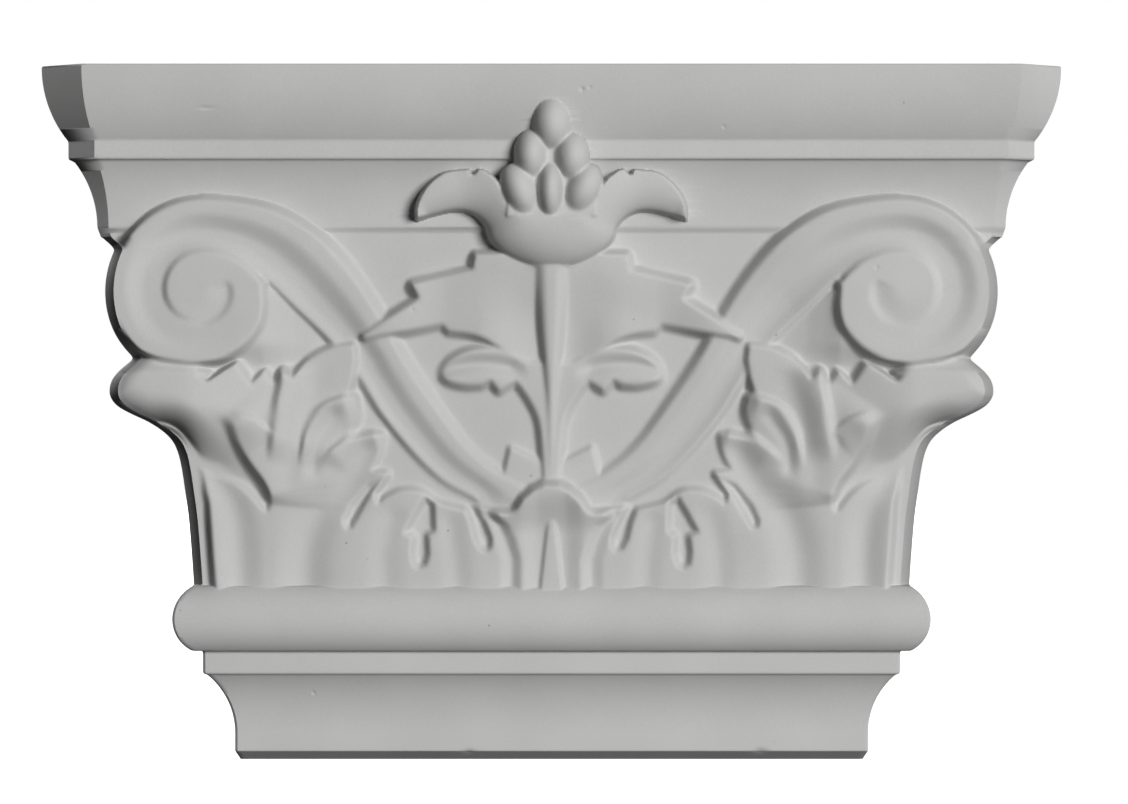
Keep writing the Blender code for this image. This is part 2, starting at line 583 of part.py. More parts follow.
def profile():
    """Rows of the sheet from the underside up: height, half width, depth and corner cut."""
    rows = []

    def base(z, out):
        rows.append((z, SHAFT_HALF_WIDTH + out, SHAFT_DEPTH + out, BASE_CORNER_CUT))

    def top(z, out):
        cut = ABACUS_CORNER_CUT + CUT_GROWTH * out
        rows.append((z, ABACUS_HALF_WIDTH + out, ABACUS_DEPTH + out, cut))

    sole = (SHAFT_HALF_WIDTH - UNDERSIDE_BEVEL_SIDE, SHAFT_DEPTH - UNDERSIDE_BEVEL_OUT)
    rows.append((0.0, *sole, BASE_CORNER_CUT))
    base(UNDERSIDE_BEVEL_HEIGHT, 0.0)
    for rise, out in hollow(NECK_COVE_HEIGHT, NECK_COVE_OUT, 10):
        base(UNDERSIDE_BEVEL_HEIGHT + NECK_STRAIGHT + rise, out)
    base(NECK_TOP + STEP, FILLET_OUT)
    base(ASTRAGAL_BOTTOM, FILLET_OUT)
    radius = ASTRAGAL_HEIGHT / (2.0 * math.sin(ASTRAGAL_TURN))
    for i in range(ASTRAGAL_ROWS):
        turn = ASTRAGAL_TURN * (2.0 * i / (ASTRAGAL_ROWS - 1) - 1.0)
        middle = ASTRAGAL_BOTTOM + ASTRAGAL_HEIGHT / 2
        base(middle + radius * math.sin(turn), ASTRAGAL_OUT - radius * (1.0 - math.cos(turn)))
    count = max(8, round(BELL_HEIGHT / PITCH))
    for i in range(count + 1):
        z = BELL_BOTTOM + STEP + (BELL_HEIGHT - STEP) * i / count
        up, scale, shift = on_board(z)
        deep = BELL_BASE_DEPTH + (BELL_TOP_DEPTH - BELL_BASE_DEPTH) * i / count
        rows.append((z, float(bell_side(up) * scale) * MM, deep, BELL_CORNER_CUT))
    for rise, out in hollow(COVE_HEIGHT, COVE_OUT, 16):
        top(ABACUS_BOTTOM + rise, out)
    for share in (0.0, 0.25, 0.5, 0.75, 1.0):
        top(ABACUS_FILLET_BOTTOM + STEP + (ABACUS_FILLET_HEIGHT - 2 * STEP) * share, ABACUS_FILLET_OUT)
    for fall, back in reversed(hollow(OVOLO_HEIGHT - NOSE, OVOLO_OUT - ABACUS_FILLET_OUT - NOSE, 17)):
        top(HEIGHT - NOSE - fall, OVOLO_OUT - back)
    top(HEIGHT, OVOLO_OUT - NOSE)
    return np.array(rows)


def side_of(z, half, up, edge, cut, columns):
    """Places along one side, from the corner back to the wall: the half of the corner leaf that is folded
    round, and above it the drum of the scroll, drawn in a little at its middle."""
    flat = edge - cut
    out = np.linspace(1.0, 0.0, columns)[None, :] * flat
    relief = Board(FOLD_ACROSS - (FOLD_DEPTH - out / MM), up + 0.0 * out)
    corner_leaf(relief)
    rim = LEAF_LEVEL + SIDE_ROLL * ease((up - SIDE_ROLL_BOTTOM) / SIDE_ROLL_HEIGHT)
    sunk = np.maximum(rim - relief.height, 0.0) * ease((flat - out) / (SIDE_EDGE * MM))
    back = clamp(((flat - out) / flat - WAIST_START) / (1.0 - WAIST_START))
    waist = SCROLL_WAIST * np.sin(math.pi * back) ** 2
    drum = ease((up - DRUM_BOTTOM) / DRUM_BLEND)
    carved = (z >= BELL_BOTTOM) & (z <= BELL_TOP)
    return half - (sunk * (1.0 - drum) + waist * drum) * MM * carved, out


def sheet_points(columns, cut_columns, side_columns):
    """Places of the wrapped sheet, one row for each row of the profile, from the left wall to the right wall,
    and which of them are carved."""
    z, half, deep, cut = profile().T[:, :, None]
    up, scale, shift = on_board(z)
    across = np.linspace(-1.0, 1.0, columns)[None, :] * (half - cut)
    height, bell = carving(across / (MM * scale), up + 0.0 * across)
    above_base = up > LEAF_FOOT
    carved = np.where((height > LEAST_RELIEF) & above_base, (bell + height) * MM + shift, 0.0)
    front = higher(deep, carved, MEETING * MM)
    edge = front[:, -1:]
    side, out = side_of(z, half, up, edge, cut, side_columns)
    turn = np.linspace(0.0, 1.0, cut_columns)[None, 1:-1]
    right_x = np.hstack([half - cut * (1.0 - turn), side])
    right_y = np.hstack([edge - cut * turn, out])
    x = np.hstack([-right_x[:, ::-1], across, right_x])
    out = np.hstack([right_y[:, ::-1], front, right_y])
    carved = (z > BELL_BOTTOM + 2 * STEP) & (z < BELL_TOP) & (out > STEP) | (out > deep + STEP)
    return x, SHAFT_DEPTH / 2 - out, z + 0.0 * x, carved


def plaster():
    """Matt light grey plaster."""
    material = bpy.data.materials.new("plaster")
    material.use_nodes = True
    shader = material.node_tree.nodes["Principled BSDF"]
    shader.inputs["Base Color"].default_value = (0.62, 0.62, 0.61, 1.0)
    shader.inputs["Roughness"].default_value = 0.85
    shader.inputs["Metallic"].default_value = 0.0
    return material


def capital():
    """The casting: the wrapped sheet, closed by a flat back, top and underside, its carving thinned."""
    columns = round(2 * ABACUS_HALF_WIDTH / PITCH) | 1
    x, y, z, carved = sheet_points(columns, 7, round(ABACUS_DEPTH / PITCH))
    rows, across = x.shape
    bm = bmesh.new()
    bmesh.ops.create_grid(bm, x_segments=across - 1, y_segments=rows - 1, size=0.5)
    bm.verts.ensure_lookup_table()
    carving_share = bm.verts.layers.deform.verify()
    for vert in bm.verts:
        spot = divmod(vert.index, across)
        vert.co = (x[spot], y[spot], z[spot])
        vert[carving_share][0] = float(carved[spot])
    for first in (0, (rows - 1) * across):
        bm.faces.new([bm.verts[first + i] for i in range(across)])
    bmesh.ops.holes_fill(bm, edges=[e for e in bm.edges if e.is_boundary])
    bmesh.ops.recalc_face_normals(bm, faces=bm.faces)
    upright = [e for e in bm.edges if abs(e.verts[0].co.z - e.verts[1].co.z) > STEP / 2]
    flat = [e for e in upright if e.calc_face_angle() < math.radians(0.03)]
    bmesh.ops.dissolve_edges(bm, edges=flat, use_verts=True)
    mesh = bpy.data.meshes.new("capital")
    bm.to_mesh(mesh)
    bm.free()
    mesh.materials.append(plaster())
    obj = bpy.data.objects.new("capital", mesh)
    bpy.context.scene.collection.objects.link(obj)
    thin = obj.modifiers.new("thin", "DECIMATE")
    thin.vertex_group = obj.vertex_groups.new(name="carved").name
    thin.ratio = min(1.0, FACES / sum(len(p.vertices) - 2 for p in mesh.polygons))
    thin.use_symmetry = True
    thin.symmetry_axis = "X"
    mesh.shade_smooth()
    mesh.set_sharp_from_angle(angle=math.radians(35))
    return obj


for old in list(bpy.data.objects):
    bpy.data.objects.remove(old, do_unlink=True)
capital()
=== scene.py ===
# %% [markdown]
# # A pilaster capital, cast in plaster
# The capital is the head of a flat column that stands against a wall. The real one is a single plaster
# casting: a moulded abacus on top, two scrolls on long S-stems, a flower, acanthus leaves and a round
# astragal below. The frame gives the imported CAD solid. This script makes the same casting again, much
# finer, and puts it in the solid's place, so that the look and the physics stay one object.

# %% Load the frame
import math

import bmesh
import bpy
import numpy as np
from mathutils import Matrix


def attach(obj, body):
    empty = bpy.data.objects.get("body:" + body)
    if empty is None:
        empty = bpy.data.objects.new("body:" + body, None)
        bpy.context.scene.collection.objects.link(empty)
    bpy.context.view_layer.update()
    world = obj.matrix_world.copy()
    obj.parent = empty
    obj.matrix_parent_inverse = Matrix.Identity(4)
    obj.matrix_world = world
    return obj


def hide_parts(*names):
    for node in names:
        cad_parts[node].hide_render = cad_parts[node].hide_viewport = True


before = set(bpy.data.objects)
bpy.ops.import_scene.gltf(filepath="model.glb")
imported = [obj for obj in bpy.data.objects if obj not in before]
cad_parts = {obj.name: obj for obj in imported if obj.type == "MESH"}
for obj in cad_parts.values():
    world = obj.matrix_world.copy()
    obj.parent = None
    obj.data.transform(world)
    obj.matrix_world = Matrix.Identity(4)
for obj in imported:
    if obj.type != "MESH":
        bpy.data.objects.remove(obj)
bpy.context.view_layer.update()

# %% [markdown]
# ## The camera
# A photographer stands two metres away and level with the middle of the piece, so that its upright
# lines stay upright. From two metres a long lens fills the picture with the piece and shows little
# perspective. It could also be an orthographic camera, but then the soffits would show no trace of
# depth.

# %% Camera
CAMERA_PLACE = (0.0047, -1.970, 0.1359)  # metres to the right, back and up
FOCAL_LENGTH = 163.4  # millimetres, on a sensor 36 mm wide
LEVEL_AHEAD = (math.radians(90), 0.0, 0.0)

camera_data = bpy.data.cameras.new("camera")
camera_data.sensor_width = 36.0
camera_data.lens = FOCAL_LENGTH
camera = bpy.data.objects.new("camera", camera_data)
bpy.context.scene.collection.objects.link(camera)
camera.location = CAMERA_PLACE
camera.rotation_euler = LEVEL_AHEAD
bpy.context.scene.camera = camera
bpy.context.scene.view_settings.view_transform = "Standard"
print("camera at", tuple(round(v, 3) for v in camera.location))

# %% [markdown]
# ## Soft steps
# A plaster cast comes out of a rubber mould, so its carving has no knife edges: every wall leans back a
# little and every arris is rounded. A handful of small curves gives each form these same soft edges.
# They could be bevel modifiers, but those need clean edge loops, which carving like this doesn't have.

# %% Small curves
WORN = 0.60  # how far a wall's arrises are rounded: 0 is a plain ramp, 1 a full S
NOT_UPRIGHT = 0.96  # with 1 a rounded edge would end in an upright wall


def clamp(value, low=0.0, high=1.0):
    """The value, kept between two bounds."""
    return np.minimum(np.maximum(value, low), high)


def ease(value):
    """0 to 1 with soft ends."""
    t = clamp(value)
    return t * t * (3.0 - 2.0 * t)


def mound(value, middle, width):
    """A soft hump, 1 high at its middle."""
    return np.exp(-(((value - middle) / width) ** 2))


def draft(distance, wall):
    """Height share of a leaning wall that rises from 0 to 1 over a width."""
    t = clamp(distance / wall)
    return t + WORN * (ease(t) - t)


def rounding(inside, radius):
    """How far a rounded edge falls below its face, by the distance inside the edge."""
    t = clamp(1.0 - inside / radius)
    return radius * (1.0 - np.sqrt(1.0 - NOT_UPRIGHT * t * t))


def higher(a, b, soft):
    """The larger of two heights, blended where they are within soft of each other."""
    near = np.maximum(soft - np.abs(a - b), 0.0)
    return np.maximum(a, b) + near * near / (4.0 * soft)


print("a wall 3 mm wide is", round(float(draft(1.5, 3.0)), 2), "of its height half way up")

# %% [markdown]
# ## Lines on the drawing board
# A carver first draws the ornament full size on a board. Here the board is in millimetres, across from
# the middle line and up from the underside. Lines are bent smoothly through a few points, and two
# measures say how far each spot of the surface is from a line and from an outline.

# %% Lines and distances
def bent(points, steps=6):
    """A smooth curve through given points."""
    p = np.array(points, float)
    p = np.vstack([2 * p[0] - p[1], p, 2 * p[-1] - p[-2]])
    t = np.linspace(0.0, 1.0, steps, endpoint=False)[:, None]
    runs = []
    for a, b, c, d in zip(p[:-3], p[1:-2], p[2:-1], p[3:]):
        bow = (2 * a - 5 * b + 4 * c - d) * t**2 + (3 * b - a - 3 * c + d) * t**3
        runs.append(0.5 * (2 * b + (c - a) * t + bow))
    return np.vstack(runs + [p[-2:-1]])


def joined(*runs):
    """One outline from curves and straight runs, one after another."""
    return np.vstack([np.array(run, float) for run in runs])


def measured(across, up, line, closed=False):
    """Distance to a line, its side (+1 is left), and the share of its length at the nearest point."""
    ends = np.roll(line, -1, axis=0) if closed else line[1:]
    starts = line if closed else line[:-1]
    lengths = np.hypot(*(ends - starts).T)
    along = np.concatenate([[0.0], np.cumsum(lengths)])
    best = np.full(across.shape, np.inf)
    turn = np.ones(across.shape)
    share = np.zeros(across.shape)
    for start, end, length, begun in zip(starts, ends, lengths, along):
        dx, dz = (end - start) / length
        px = across - start[0]
        pz = up - start[1]
        t = clamp(px * dx + pz * dz, 0.0, length)
        gap = (px - t * dx) ** 2 + (pz - t * dz) ** 2
        nearer = gap < best - 1e-9
        best = np.where(nearer, gap, best)
        turn = np.where(nearer, np.sign(dx * pz - dz * px), turn)
        share = np.where(nearer, begun + t, share)
    return np.sqrt(best), turn, share / along[-1]


def within(across, up, outline):
    """Distance inside a closed outline, negative outside it."""
    distance, _, _ = measured(across, up, outline, closed=True)
    odd = np.zeros(across.shape, bool)
    for (x0, z0), (x1, z1) in zip(outline, np.roll(outline, -1, axis=0)):
        if z0 != z1:
            crosses = (up >= min(z0, z1)) & (up < max(z0, z1))
            odd ^= crosses & (across < x0 + (up - z0) * (x1 - x0) / (z1 - z0))
    return np.where(odd, distance, -distance)


triangle = np.array([(0.0, 0.0), (10.0, 0.0), (10.0, 10.0)])
inset = within(np.array([8.0]), np.array([4.0]), triangle)
print("a spot 2 mm inside the edge of a triangle measures", round(float(inset[0]), 2), "mm")

# %% [markdown]
# ## The board
# The carving is low relief, so one height over the bell for each spot is enough to say it. The board
# holds those heights, and each tool adds one kind of form: a plate with leaning walls, a flap that lies
# over the form behind it, a furrow, and a dent. Sculpting by hand would work too, but it can't be
# repeated from numbers.

# %% Board
BELL_BOTTOM, BELL_TOP = 66.7, 197.7  # heights of the bell over the underside
BELL_DEPTHS = (71.0, 84.5)  # how far its face stands from the wall there
PLATE_MARGIN = 8.0  # how far the walls of a plate may reach past its outline


class Board:
    """Heights over the bell, one form after another, in millimetres."""

    def __init__(self, across, up):
        self.signed = across
        self.across = np.abs(across)
        self.up = up
        rise = clamp((up - BELL_BOTTOM) / (BELL_TOP - BELL_BOTTOM), 0.0, 1.2)
        self.bell = BELL_DEPTHS[0] + (BELL_DEPTHS[1] - BELL_DEPTHS[0]) * rise
        self.height = np.zeros(across.shape)

    def near(self, line, margin):
        """The spots that lie within a margin of a line's own box."""
        low = line.min(axis=0) - margin
        high = line.max(axis=0) + margin
        beside = (self.across > low[0]) & (self.across < high[0])
        return beside & (self.up > low[1]) & (self.up < high[1])

    def plate(self, outline, level, wall, soft=0.4, foot=1.0):
        """A raised form with a leaning wall. Foot says how much of the wall lies outside the outline."""
        outline = np.array(outline, float)
        spot = self.near(outline, PLATE_MARGIN)
        across, up = self.across[spot], self.up[spot]
        inside = within(across, up, outline)
        if callable(level):
            level = level(across, up, self.bell[spot], inside)
        if callable(wall):
            wall = wall(across, up)
        self.height[spot] = higher(self.height[spot], level * draft(inside + foot * wall, wall), soft)

    def flap(self, line, height, wall, reach, start=0.45, end=0.12):
        """A step on the left of a line that sinks back into the form behind it."""
        line = np.array(line, float)
        spot = self.near(line, reach * 2.5)
        distance, turn, share = measured(self.across[spot], self.up[spot], line)
        signed = distance * turn
        fade = ease(share / start) * ease((1.0 - share) / end)
        back = mound(np.maximum(signed, 0.0), 0.0, reach)
        self.height[spot] += height * fade * draft(signed + wall, wall) * back

    def furrow(self, line, depth, width, ends=0.2):
        """A soft groove along a line."""
        line = np.array(line, float)
        spot = self.near(line, width * 2.0)
        distance, _, share = measured(self.across[spot], self.up[spot], line)
        fade = ease(share / ends) * ease((1.0 - share) / ends) if ends else 1.0
        self.height[spot] -= depth * fade * mound(distance, 0.0, width)

    def dent(self, outline, depth, wall):
        """A sunk opening whose walls lean in from its outline."""
        outline = np.array(outline, float)
        spot = self.near(outline, 1.0)
        across, up = self.across[spot], self.up[spot]
        inside = within(across, up, outline)
        if callable(depth):
            depth = depth(across, up)
        self.height[spot] -= depth * draft(inside, wall)


print("the bell's face leans out from", BELL_DEPTHS[0], "to", BELL_DEPTHS[1], "mm from the wall")

# %% [markdown]
# ## The S-stem
# Each scroll hangs on a stem that swings up from the calyx in the middle. It has a roll along each edge
# and a channel between them. Two bent lines give its edges here. A curve object with a bevel could make
# it too, but it would lie on the bell as a part of its own instead of growing out of it.

# %% Stem lines
SCROLL = (130.7, 177.2, 96.0)  # across, up and the depth of its face
STEM_UPPER = bent(
    [(141.0, 209.2), (131.0, 210.8), (116.0, 209.5), (101.0, 205.5), (86.5, 196.0), (74.5, 182.5),
     (64.5, 167.0), (56.0, 151.5), (45.0, 135.0), (34.0, 120.0), (23.0, 110.0), (10.0, 103.0)], 5
)
STEM_LOWER = bent(
    [(136.0, 191.0), (131.0, 191.8), (125.4, 191.6), (119.2, 189.6), (112.2, 185.0), (107.2, 180.8),
     (97.3, 171.2), (83.5, 158.2), (74.0, 146.5), (64.0, 130.5), (52.5, 116.5), (41.5, 106.0),
     (30.0, 99.5)], 5
)
print("the stem reaches from", STEM_LOWER[-1].tolist(), "to", STEM_UPPER[0].tolist(), "mm on the board")

# %% [markdown]
# ## The coil
# At its upper end the stem winds in on itself and ends in an eye. Seen from the middle of the scroll,
# the coil is only a radius for each angle, so a short table and an interpolation between its numbers
# draw the whole spiral. A screw modifier could turn a profile too, but it would not run into the stem.

# %% Coil
COIL_TIP = 27.0  # degrees at which the coil ends
# Radius of the eye's edge by degrees back from the tip, round to where the stem runs into it
COIL = (
    [0, 27, 117, 207, 297, 318, 338, 364, 380],
    [9.2, 10.6, 11.3, 13.0, 14.6, 15.5, 16.8, 20.1, 23.6],
)
COIL_OVERLAP = 18.0  # degrees past a full turn over which the coil passes its own tip
COIL_LAP, COIL_STEP = 0.8, 2.2  # where the step down from the coil starts, and its width
CHANNEL_DEPTH = 3.6


def channel(share):
    """Depth share of the channel at a share of a band's width, from its outer roll to its inner roll."""
    return ease((share - 0.20) / 0.40) * (1.0 - 0.5 * (1.0 - ease((1.0 - share) / 0.30)))


def coiled(across, up):
    """Radius and angle round the scroll, degrees back from the tip, and radii of eye and coil."""
    x, z = SCROLL[0] - across, up - SCROLL[1]
    radius, angle = np.hypot(x, z), np.degrees(np.arctan2(z, x))
    turned = (COIL_TIP - angle) % 360.0
    eye_edge = np.interp(turned, *COIL)
    coil = np.where(turned < COIL_OVERLAP, np.interp(turned + 360.0, *COIL), eye_edge)
    return radius, angle, turned, eye_edge, coil


print("the coil grows from", COIL[1][0], "to", COIL[1][-1], "mm from the middle of the eye")

# %% [markdown]
# ## The section of the stem
# The share of the way from one edge of the stem to the other gives its section, which is how a run
# moulding is drawn with a template. Its crest falls gently from the scroll to the leaves and dips
# towards the calyx.

# %% Stem
UPPER_WALL, LOWER_WALL = 5.2, 4.0  # widths of its leaning walls
STEM_CREST = 7.4  # its height over the bell behind the leaves
STEM_DIP = 2.6  # how much lower it is at the calyx


def stem(board):
    """The S-stem: an outer roll, a channel and an inner roll between two leaning walls."""
    spot = board.near(np.vstack([STEM_UPPER, STEM_LOWER]), 6.0) & (board.across < SCROLL[0])
    across, up = board.across[spot], board.up[spot]
    far, turn, _ = measured(across, up, STEM_UPPER)
    below = far * turn
    far, turn, share = measured(across, up, STEM_LOWER)
    above = -far * turn
    crest = SCROLL[2] - board.bell[spot]
    crest = crest + (STEM_CREST - crest) * ease((share - 0.10) / 0.34)
    crest = crest - STEM_DIP * ease((share - 0.4) / 0.6)
    from_edge = clamp(below / np.maximum(below + above, 2.0))
    sunk = np.minimum(CHANNEL_DEPTH, 0.42 * crest) * channel(from_edge)
    radius, angle, _, _, coil = coiled(across, up)
    into_eye = (1.0 - ease((radius - coil - 1.0) / 4.0)) * ease((angle - 9.0) / 14.0)
    lower = draft(above + 0.6 * LOWER_WALL, LOWER_WALL)
    lower = lower + (1.0 - lower) * into_eye
    sunk = sunk * draft(radius - coil + COIL_LAP, COIL_STEP)
    raised = (crest - sunk) * np.minimum(draft(below + UPPER_WALL, UPPER_WALL), lower)
    board.height[spot] = higher(board.height[spot], raised, 0.4)


print("the stem stands", STEM_CREST, "mm over the bell, and", STEM_CREST - STEM_DIP, "mm at its foot")

# %% [markdown]
# ## The scroll
# The scroll is like a coiled ribbon: a rim, a channel that follows the coil, and an eye with a shallow
# dip. All of it is drawn by radius and angle. The corner between scroll, stem and leaf is filled on the
# real piece, which spares the mould a deep narrow hole, so a low plate fills it here too.

# %% Scroll
# Tables by degrees: the rim's radius and the width of its wall, then how strongly the channel, the dip
# of the eye and the groove beside the coil show
RIM = (
    [-90, -30, 0, 10, 90, 180, 208, 224, 235, 250, 270],
    [26.4, 25.2, 22.8, 23.2, 33.6, 32.8, 32.0, 31.2, 29.6, 27.6, 26.4],
)
RIM_WALL = ([-90, -50, 20, 90, 150, 230, 270], [3.4, 4.4, 4.6, 4.4, 2.8, 3.2, 3.4])
CHANNEL_STRENGTH = (
    [0, 18, 60, 130, 207, 297, 330, 360],
    [0.35, 0.0, 0.0, 0.25, 1.0, 1.0, 0.6, 0.35],
)
EYE_DIP = ([0, 22, 95, 190], [0.0, 1.2, 1.2, 0.0])
GROOVED = ([0, 18, 110, 200], [0.0, 1.0, 1.0, 0.0])
GROOVE_DEPTH, GROOVE_WIDTH = 1.3, 1.2
COIL_DEPTH = 2.4  # how deep the channel lies in the inner turn of the coil
SCROLL_REACH = 42.0  # nothing of the scroll lies further from its middle
# The filled corner between scroll, stem and leaf: its outline, its height across the board and its wall
FILLED = [
    (126.0, 172.0), (112.0, 180.0), (104.0, 177.0), (83.0, 156.5), (78.0, 149.0), (90.0, 143.0),
    (108.0, 138.0), (126.0, 142.0), (136.0, 152.0),
]
FILLED_LEVEL = ([76.0, 84.0, 96.0, 102.0, 108.0, 130.0], [0.8, 2.2, 5.0, 7.2, 10.0, 12.0])
FILLED_WALL = 3.0


def scroll(board):
    """The scroll: a rim, a channel that follows the coil, and an eye that the coil runs into."""

    def level(across, up, bell, inside):
        return np.interp(across, *FILLED_LEVEL) * (0.5 + 0.5 * ease((up - 147.0) / 12.0))

    board.plate(FILLED, level, FILLED_WALL)
    spot = np.hypot(SCROLL[0] - board.across, board.up - SCROLL[1]) < SCROLL_REACH
    radius, angle, turned, eye_edge, coil = coiled(board.across[spot], board.up[spot])
    round_angle = (angle + 90.0) % 360.0 - 90.0
    rim, wall = np.interp(round_angle, *RIM), np.interp(round_angle, *RIM_WALL)
    band = clamp((rim - radius) / np.maximum(rim - coil, 1.0))
    from_stem = ease((turned - 215.0) / 75.0)
    floor = COIL_DEPTH * ease((band - 0.2) / 0.4)
    floor = floor + (CHANNEL_DEPTH * channel(band) - floor) * from_stem
    outside = np.interp(turned, *CHANNEL_STRENGTH) * floor
    face = SCROLL[2] - board.bell[spot]
    dip = GROOVE_DEPTH * np.interp(turned, *GROOVED) * mound(radius, eye_edge, GROOVE_WIDTH)
    dip = dip + np.interp(turned, *EYE_DIP) * draft(eye_edge - radius, 1.8) * ease((radius - 2.0) / 7.0)
    disc = face - outside * draft(radius - coil + COIL_LAP, COIL_STEP) - dip
    raised = disc * draft(rim - radius + wall, wall)
    open_side = (angle > 10.0) & (angle < 90.0) & (radius > coil)
    raised = np.where(open_side, face * draft(coil - radius + 1.6, 1.6), raised)
    board.height[spot] = higher(board.height[spot], raised, 0.3)


print("the scroll's rim lies up to", max(RIM[1]), "mm from its middle, its face", SCROLL[2], "mm out")

# %% [markdown]
# ## The corner acanthus
# At each corner a leaf grows up the bell and rolls its tip forward under the scroll. Its edge is cut
# into lobes that lie over one another, with drop-shaped openings between them. The leaf is built as a
# carver works: first the whole outline, here from bent and straight runs joined into one.

# %% Leaf outline
CURL_MARGIN = bent(
    [(129.6, 106.0), (131.4, 112.0), (134.0, 117.8), (137.2, 122.8), (141.0, 126.6), (146.0, 128.4),
     (152.5, 129.2), (159.5, 131.6), (165.5, 134.6), (176.0, 138.5)]
)
LEAF_BODY = joined(
    bent([(125.4, 60.0), (125.8, 70.0), (126.5, 80.0), (127.6, 98.0)], 3),
    CURL_MARGIN,
    bent([(174.0, 147.5), (160.0, 151.2), (152.0, 152.2), (138.0, 151.3), (128.0, 146.5)]),
    [(133.3, 148.4), (128.4, 143.5), (117.2, 150.2), (112.3, 142.0), (107.1, 147.2), (104.4, 142.5)],
    [(102.0, 143.5), (100.7, 147.9), (96.8, 143.5)],
    bent([(95.5, 145.5), (92.5, 149.8), (87.6, 153.5), (81.2, 156.0), (74.0, 157.0)]),
    bent([(73.6, 151.0), (74.8, 144.5), (76.6, 139.0)], 3),
    bent([(74.0, 137.5), (73.2, 131.5), (75.6, 124.5), (78.5, 120.5)], 3),
    bent([(63.8, 123.4), (64.2, 118.5), (66.6, 113.0), (69.0, 109.8)], 3),
    [(62.0, 108.8), (64.5, 105.2), (67.3, 101.5), (65.5, 96.5)],
    bent([(62.2, 99.4), (56.8, 101.9), (51.2, 102.2), (47.8, 101.0), (44.5, 98.6)], 3),
    bent([(41.5, 97.0), (35.0, 95.4), (31.7, 94.8), (28.0, 95.6), (21.0, 94.6), (15.0, 91.5)], 3),
    [(13.0, 89.0), (-6.0, 88.0), (-6.0, 60.0)],
)
leaf_top = round(float(LEAF_BODY[:, 1].max()), 1)
print("the leaf's outline has", len(LEAF_BODY), "points and reaches up to", leaf_top, "mm")

# %% [markdown]
# ## Its rolled tip
# The tip rolls forward under the scroll, and its tail runs down between a plain panel on its outside
# and the main leaf on its inside. From the front the roll is what gives the piece its outline at this
# height, so its half widths are a line of their own. The sheet follows that line later.

# %% Rolled tip
CURL_ROLL = 12.0  # how far the rolled tip rounds in from its margin
TAIL_INNER = [
    (104.8, 96.8), (104.8, 101.0), (107.4, 106.7), (111.9, 113.0), (115.7, 119.8), (118.7, 128.4),
    (122.1, 134.0),
]
TAIL = joined(
    [(150.0, 112.0)],
    bent([(132.2, 110.4), (127.3, 107.8), (122.4, 106.3), (116.8, 103.3), (112.3, 99.2), (108.6, 95.0)]),
    [(106.6, 93.6)],
    bent(TAIL_INNER),
    [(150.0, 140.0)],
)
TAIL_DEPTH, TAIL_WALL = 3.2, 3.0
# Heights and half widths of the roll, seen from the front
CURL_SIDE = bent(
    [(60.0, 135.1), (75.0, 136.0), (91.4, 137.2), (102.7, 138.6), (111.0, 139.8), (117.0, 141.2),
     (121.5, 143.4), (125.2, 147.2), (128.4, 152.0), (131.2, 157.6), (134.2, 162.8), (137.4, 165.2),
     (141.0, 165.6), (145.0, 164.2), (149.5, 160.0), (155.0, 153.0)]
)
print("the rolled tip is widest at", round(float(CURL_SIDE[:, 1].max()), 1), "mm from the middle line")

# %% [markdown]
# ## Its folds and openings
# Flutes run up the foot of the leaf, finer veins run through its lobes, and each lobe lies over the
# next one with a small step. The openings are the eyes that a carver drills where two lobes meet. All
# of them are tables of lines, so a lobe can be moved by editing its points.

# %% Leaf folds
# Line, depth and width of each flute and vein
FLUTES = (
    ([(117.6, 60.0), (117.6, 80.0), (119.5, 95.0), (126.2, 107.4)], 3.1, 6.5),
    ([(92.8, 60.0), (92.0, 80.0), (87.0, 95.0), (77.4, 104.0), (69.9, 117.9)], 3.2, 7.5),
    ([(62.0, 60.0), (63.0, 78.0), (60.0, 92.0)], 1.2, 5.0),
    ([(35.0, 60.0), (36.0, 76.0), (38.0, 90.0)], 1.2, 4.5),
)
VEINS = (
    ([(99.0, 96.0), (98.0, 112.0), (91.0, 138.0), (82.0, 150.0)], 1.0, 5.0),
    ([(89.6, 106.0), (88.4, 119.8), (83.1, 129.2), (78.0, 135.5)], 1.8, 2.6),
)
# Line, height, width of the wall and reach of each lobe's step
LOBE_STEPS = (
    (
        [(94.4, 110.0), (93.0, 117.5), (91.4, 125.0), (86.9, 132.8), (80.6, 136.6), (73.5, 138.0)],
        3.2, 1.6, 7.0,
    ),
    ([(86.5, 112.0), (83.6, 116.0), (79.3, 119.8), (73.2, 124.0), (64.0, 126.0)], 3.0, 1.8, 7.0),
    ([(104.5, 112.0), (103.4, 123.0), (101.4, 137.0), (100.2, 143.0), (101.0, 150.0)], 4.0, 3.2, 9.0),
    ([(120.0, 132.0), (111.5, 129.0), (104.8, 123.5)], 1.6, 2.2, 8.0),
)
OPENINGS = (
    [(47.8, 101.4), (43.3, 98.4), (42.9, 86.8), (45.6, 85.3), (45.2, 78.5), (46.7, 74.0), (49.7, 72.5),
     (52.7, 74.4), (53.4, 79.6), (52.7, 84.9), (56.4, 86.4), (52.3, 93.9)],
    [(31.7, 99.2), (27.2, 96.9), (24.2, 91.7), (21.6, 84.9), (21.9, 80.8), (24.2, 78.9), (27.2, 80.0),
     (29.4, 83.8), (30.9, 90.2), (32.8, 95.4)],
    [(61.7, 108.9), (69.6, 105.2), (75.9, 97.7), (78.9, 91.3), (77.8, 87.9), (74.8, 87.9), (71.1, 94.3),
     (67.3, 101.0), (64.3, 105.2)],
)
OPENING_DEPTH, OPENING_WALL = 4.4, 3.2
print(len(FLUTES), "flutes,", len(LOBE_STEPS), "steps between lobes and", len(OPENINGS), "openings")

